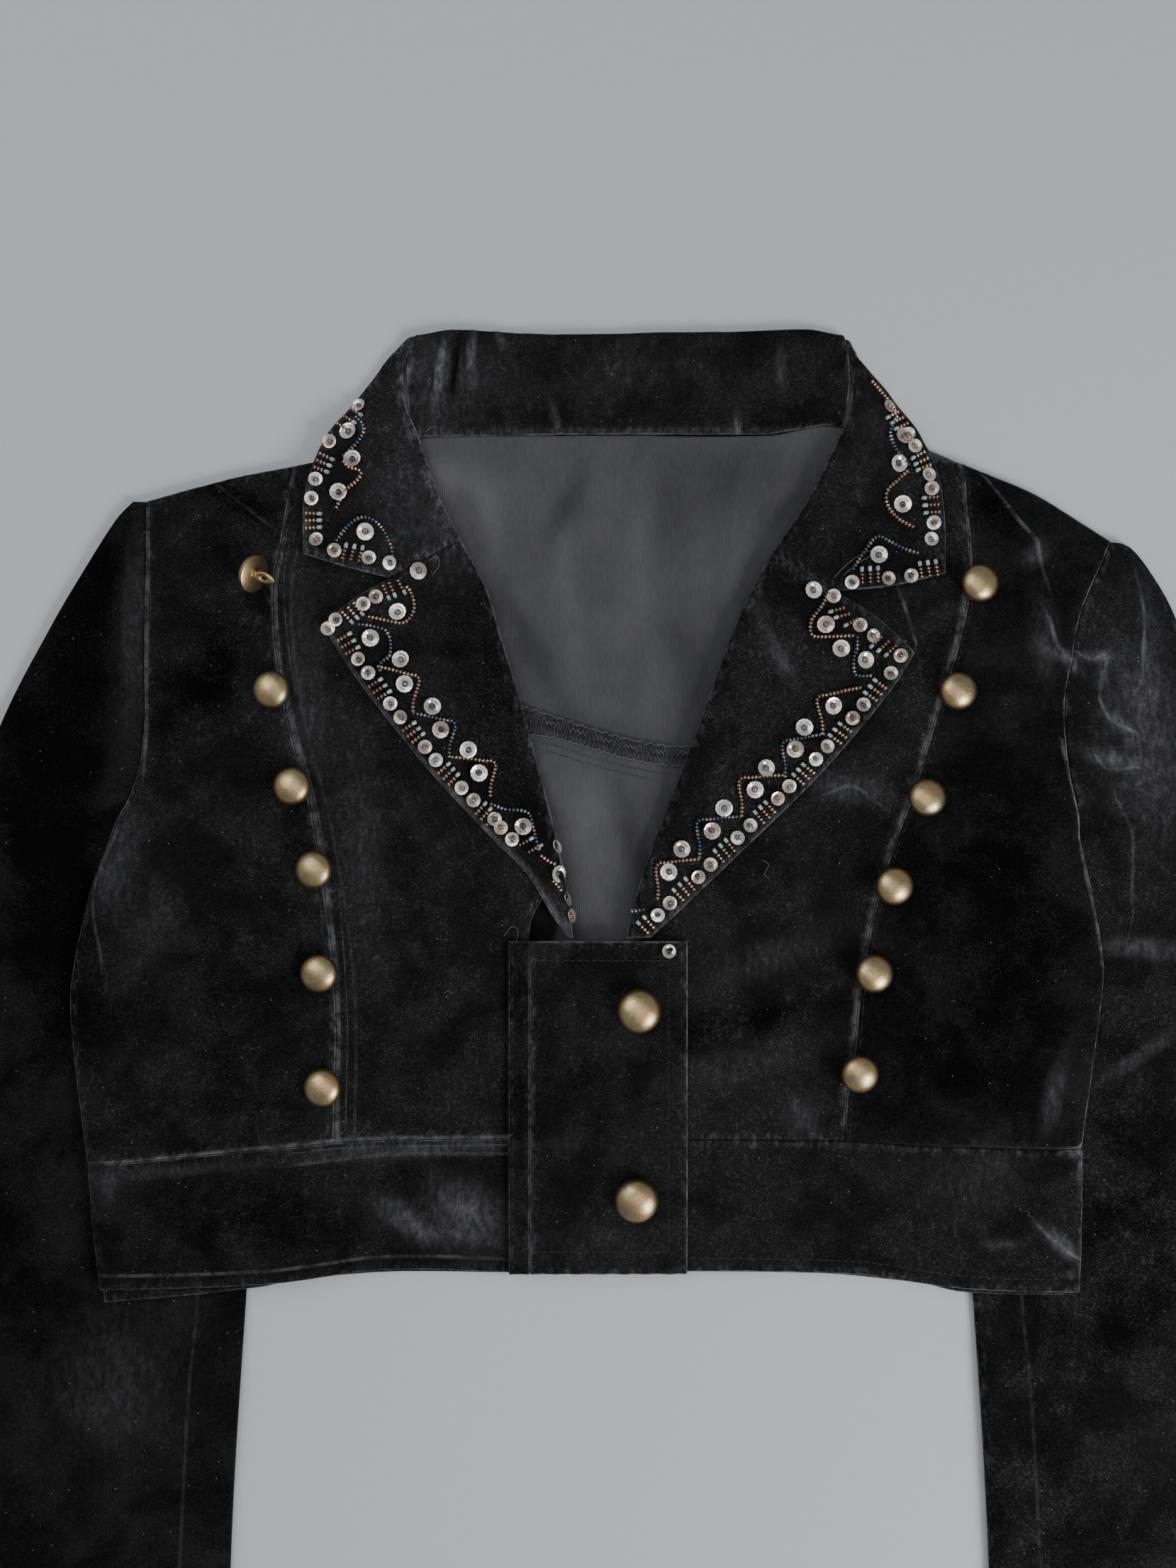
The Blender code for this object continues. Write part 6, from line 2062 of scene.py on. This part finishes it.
class JacketCloth(bpy.types.PropertyGroup):
    """Colours of the cloth and its threads."""

    # Also the colour that painted shadows and shaded patches darken towards
    deep_pile: shade("Deep pile", "Colour down in the upright pile", (0.0012, 0.0012, 0.0014))
    pile: shade("Pile", "Colour of the pile's tips", (0.0118, 0.0118, 0.0123))
    # Also the colour that the painted highlights lighten towards
    crushed_pile: shade("Crushed pile", "Colour where the pile is pressed or worn",
                        (0.12, 0.12, 0.125))
    lint: shade("Lint", "Colour of the dust on the pile", (0.30, 0.29, 0.27))
    wrong_side: shade("Inner side", "Colour of the cloth's inner side", (0.078, 0.078, 0.081))
    wrong_side_dark: shade("Inner side, dark", "Its darker ribs", (0.030, 0.030, 0.032))
    thread: shade("Thread", "Colour of the machine stitches", (0.034, 0.034, 0.036))
    overlock: shade("Overlock", "Colour of the seam threads inside", (0.10, 0.10, 0.104))
    loose_thread: shade("Loose thread", "Colour of the loose ends", (0.15, 0.145, 0.14))
    crush: number("Crush", "How light the crushed marks are", 0.3,
                  min=0.0, max=1.0, subtype="FACTOR")
    # The strength of the painted highlight along the rims, which partly stands for worn edges
    edge_light: number("Edge light", "How light worn edges are", 1.15,
                       min=0.0, max=2.0, subtype="FACTOR")
    sheen: number("Sheen", "Strength of the pile's sheen", 0.075,
                  min=0.0, max=1.0, subtype="FACTOR")


class JacketMetal(bpy.types.PropertyGroup):
    """Colours of the buttons."""

    brass: shade("Brass", "Colour of the polished brass", (0.451, 0.35, 0.176))
    tarnish: shade("Tarnish", "Colour of the tarnished brass", (0.27, 0.23, 0.14))
    # A painted reflection of a reddish light, mixed over the brass in patches
    warm: shade("Warm brass", "Colour of the worn spots", (0.50, 0.31, 0.17))


class JacketTrim(bpy.types.PropertyGroup):
    """Colours of the bead and sequin edging."""

    copper: shade("Copper bead", "Darker copper beads", (0.42, 0.27, 0.20))
    copper_light: shade("Light copper bead", "Lighter copper beads", (0.74, 0.56, 0.45))
    copper_gold: shade("Golden bead", "The most golden of them", (0.60, 0.47, 0.31))
    iris_blue: shade("Blue bead", "Iridescent beads, blue", (0.10, 0.17, 0.28))
    iris_green: shade("Green bead", "Iridescent beads, green", (0.17, 0.27, 0.26))
    iris_violet: shade("Violet bead", "Iridescent beads, violet", (0.30, 0.19, 0.27))
    iris_gold: shade("Gold-green bead", "Iridescent beads, gold", (0.34, 0.31, 0.20))
    iris_light: shade("Silver bead", "Iridescent beads, silver", (0.46, 0.51, 0.53))
    bugle: shade("Bugle", "Pale bugle beads", (0.36, 0.44, 0.42))
    bugle_light: shade("Light bugle", "Palest bugle beads", (0.60, 0.66, 0.62))
    core: shade("Core bead", "Beads that hold the sequins", (0.09, 0.08, 0.09))
    core_light: shade("Light core bead", "The lightest of them", (0.38, 0.31, 0.28))
    sequin: shade("Sequin", "The brightest sequins", (0.86, 0.83, 0.77))
    sequin_shade: shade("Dull sequin", "The duller ones", (0.46, 0.43, 0.38))
    # A painted reflection: dark patches that stand for the dark cloth mirrored in the sequins
    sequin_dark: shade("Dark of a sequin", "What the sequins mirror of the dark cloth",
                       (0.30, 0.28, 0.25))
    sequin_warm: shade("Warm sequin", "The warmer ones", (0.52, 0.42, 0.35))


class JacketStage(bpy.types.PropertyGroup):
    """Floor, lights and camera."""

    floor: shade("Floor", "Colour of the plain floor", (0.415, 0.432, 0.445))
    key: number("Window light", "Power of the main light", 22.0, min=0.0, unit="POWER")
    fill: number("Far window", "Power of the second light", 12.0, min=0.0, unit="POWER")
    top: number("Ceiling light", "Power of the light from above", 10.0, min=0.0, unit="POWER")
    sky: number("Sky", "Strength of the light from all round", 0.35, min=0.0)
    camera_height: number("Camera height", "Camera above the floor", 0.56, min=0.1, unit="LENGTH")


SETTINGS = (
    ("jacket_cloth", JacketCloth),
    ("jacket_metal", JacketMetal),
    ("jacket_trim", JacketTrim),
    ("jacket_stage", JacketStage),
)


class JACKET_OT_back(bpy.types.Operator):
    """Build the back, its inner side showing in the neck"""

    bl_idname = "jacket.back"
    bl_label = "Back"

    def execute(self, context):
        build_back()
        return {"FINISHED"}


class JACKET_OT_sleeves(bpy.types.Operator):
    """Build both sleeves as flat tubes"""

    bl_idname = "jacket.sleeves"
    bl_label = "Sleeves"

    def execute(self, context):
        build_sleeve(LEFT)
        build_sleeve(RIGHT)
        return {"FINISHED"}


class JACKET_OT_fronts(bpy.types.Operator):
    """Build the front panels and the waistband"""

    bl_idname = "jacket.fronts"
    bl_label = "Fronts"

    def execute(self, context):
        build_fronts()
        return {"FINISHED"}


class JACKET_OT_placket(bpy.types.Operator):
    """Build the placket and its strip"""

    bl_idname = "jacket.placket"
    bl_label = "Placket"

    def execute(self, context):
        build_placket()
        return {"FINISHED"}


class JACKET_OT_lapels(bpy.types.Operator):
    """Build both lapels"""

    bl_idname = "jacket.lapels"
    bl_label = "Lapels"

    def execute(self, context):
        build_lapels()
        return {"FINISHED"}


class JACKET_OT_collar(bpy.types.Operator):
    """Build the falls, the stand and the turned back"""

    bl_idname = "jacket.collar"
    bl_label = "Collar"

    def execute(self, context):
        build_collar()
        return {"FINISHED"}


class JACKET_OT_buttons(bpy.types.Operator):
    """Build the domed shank buttons"""

    bl_idname = "jacket.buttons"
    bl_label = "Buttons"

    def execute(self, context):
        build_buttons()
        return {"FINISHED"}


class JACKET_OT_edging(bpy.types.Operator):
    """Lay the beads and sequins along the edges"""

    bl_idname = "jacket.edging"
    bl_label = "Edging"

    def execute(self, context):
        build_edging()
        return {"FINISHED"}


class JACKET_OT_stitching(bpy.types.Operator):
    """Sew the rows of machine stitches"""

    bl_idname = "jacket.stitching"
    bl_label = "Stitching"

    def execute(self, context):
        build_stitching()
        return {"FINISHED"}


class JACKET_OT_overlock(bpy.types.Operator):
    """Sew the overlocked seam inside the back"""

    bl_idname = "jacket.overlock"
    bl_label = "Overlock"

    def execute(self, context):
        build_overlock()
        return {"FINISHED"}


class JACKET_OT_threads(bpy.types.Operator):
    """Lay the loose thread ends"""

    bl_idname = "jacket.threads"
    bl_label = "Loose threads"

    def execute(self, context):
        build_threads()
        return {"FINISHED"}


class JACKET_OT_stage(bpy.types.Operator):
    """Set up the floor, the lights and the camera"""

    bl_idname = "jacket.stage"
    bl_label = "Stage"

    def execute(self, context):
        build_stage()
        return {"FINISHED"}


STEPS = (
    JACKET_OT_back, JACKET_OT_sleeves, JACKET_OT_fronts, JACKET_OT_placket, JACKET_OT_lapels,
    JACKET_OT_collar, JACKET_OT_buttons, JACKET_OT_edging, JACKET_OT_stitching,
    JACKET_OT_overlock, JACKET_OT_threads, JACKET_OT_stage,
)


class JACKET_PT_panel(bpy.types.Panel):
    """The steps and settings of the jacket."""

    bl_label = "Velvet jacket"
    bl_idname = "JACKET_PT_panel"
    bl_space_type = "VIEW_3D"
    bl_region_type = "UI"
    bl_category = "Jacket"

    def draw(self, context):
        for step in STEPS:
            self.layout.operator(step.bl_idname)
        for name, group in SETTINGS:
            settings = getattr(context.scene, name)
            for field in group.__annotations__:
                self.layout.prop(settings, field)


def register():
    for name, group in SETTINGS:
        bpy.utils.register_class(group)
        setattr(bpy.types.Scene, name, bpy.props.PointerProperty(type=group))
    for step in STEPS:
        bpy.utils.register_class(step)
    bpy.utils.register_class(JACKET_PT_panel)


def unregister():
    bpy.utils.unregister_class(JACKET_PT_panel)
    for step in reversed(STEPS):
        bpy.utils.unregister_class(step)
    for name, group in reversed(SETTINGS):
        delattr(bpy.types.Scene, name)
        bpy.utils.unregister_class(group)


def main():
    register()
    for step in STEPS:
        family, name = step.bl_idname.split(".")
        getattr(getattr(bpy.ops, family), name)()


if __name__ == "__main__":
    main()
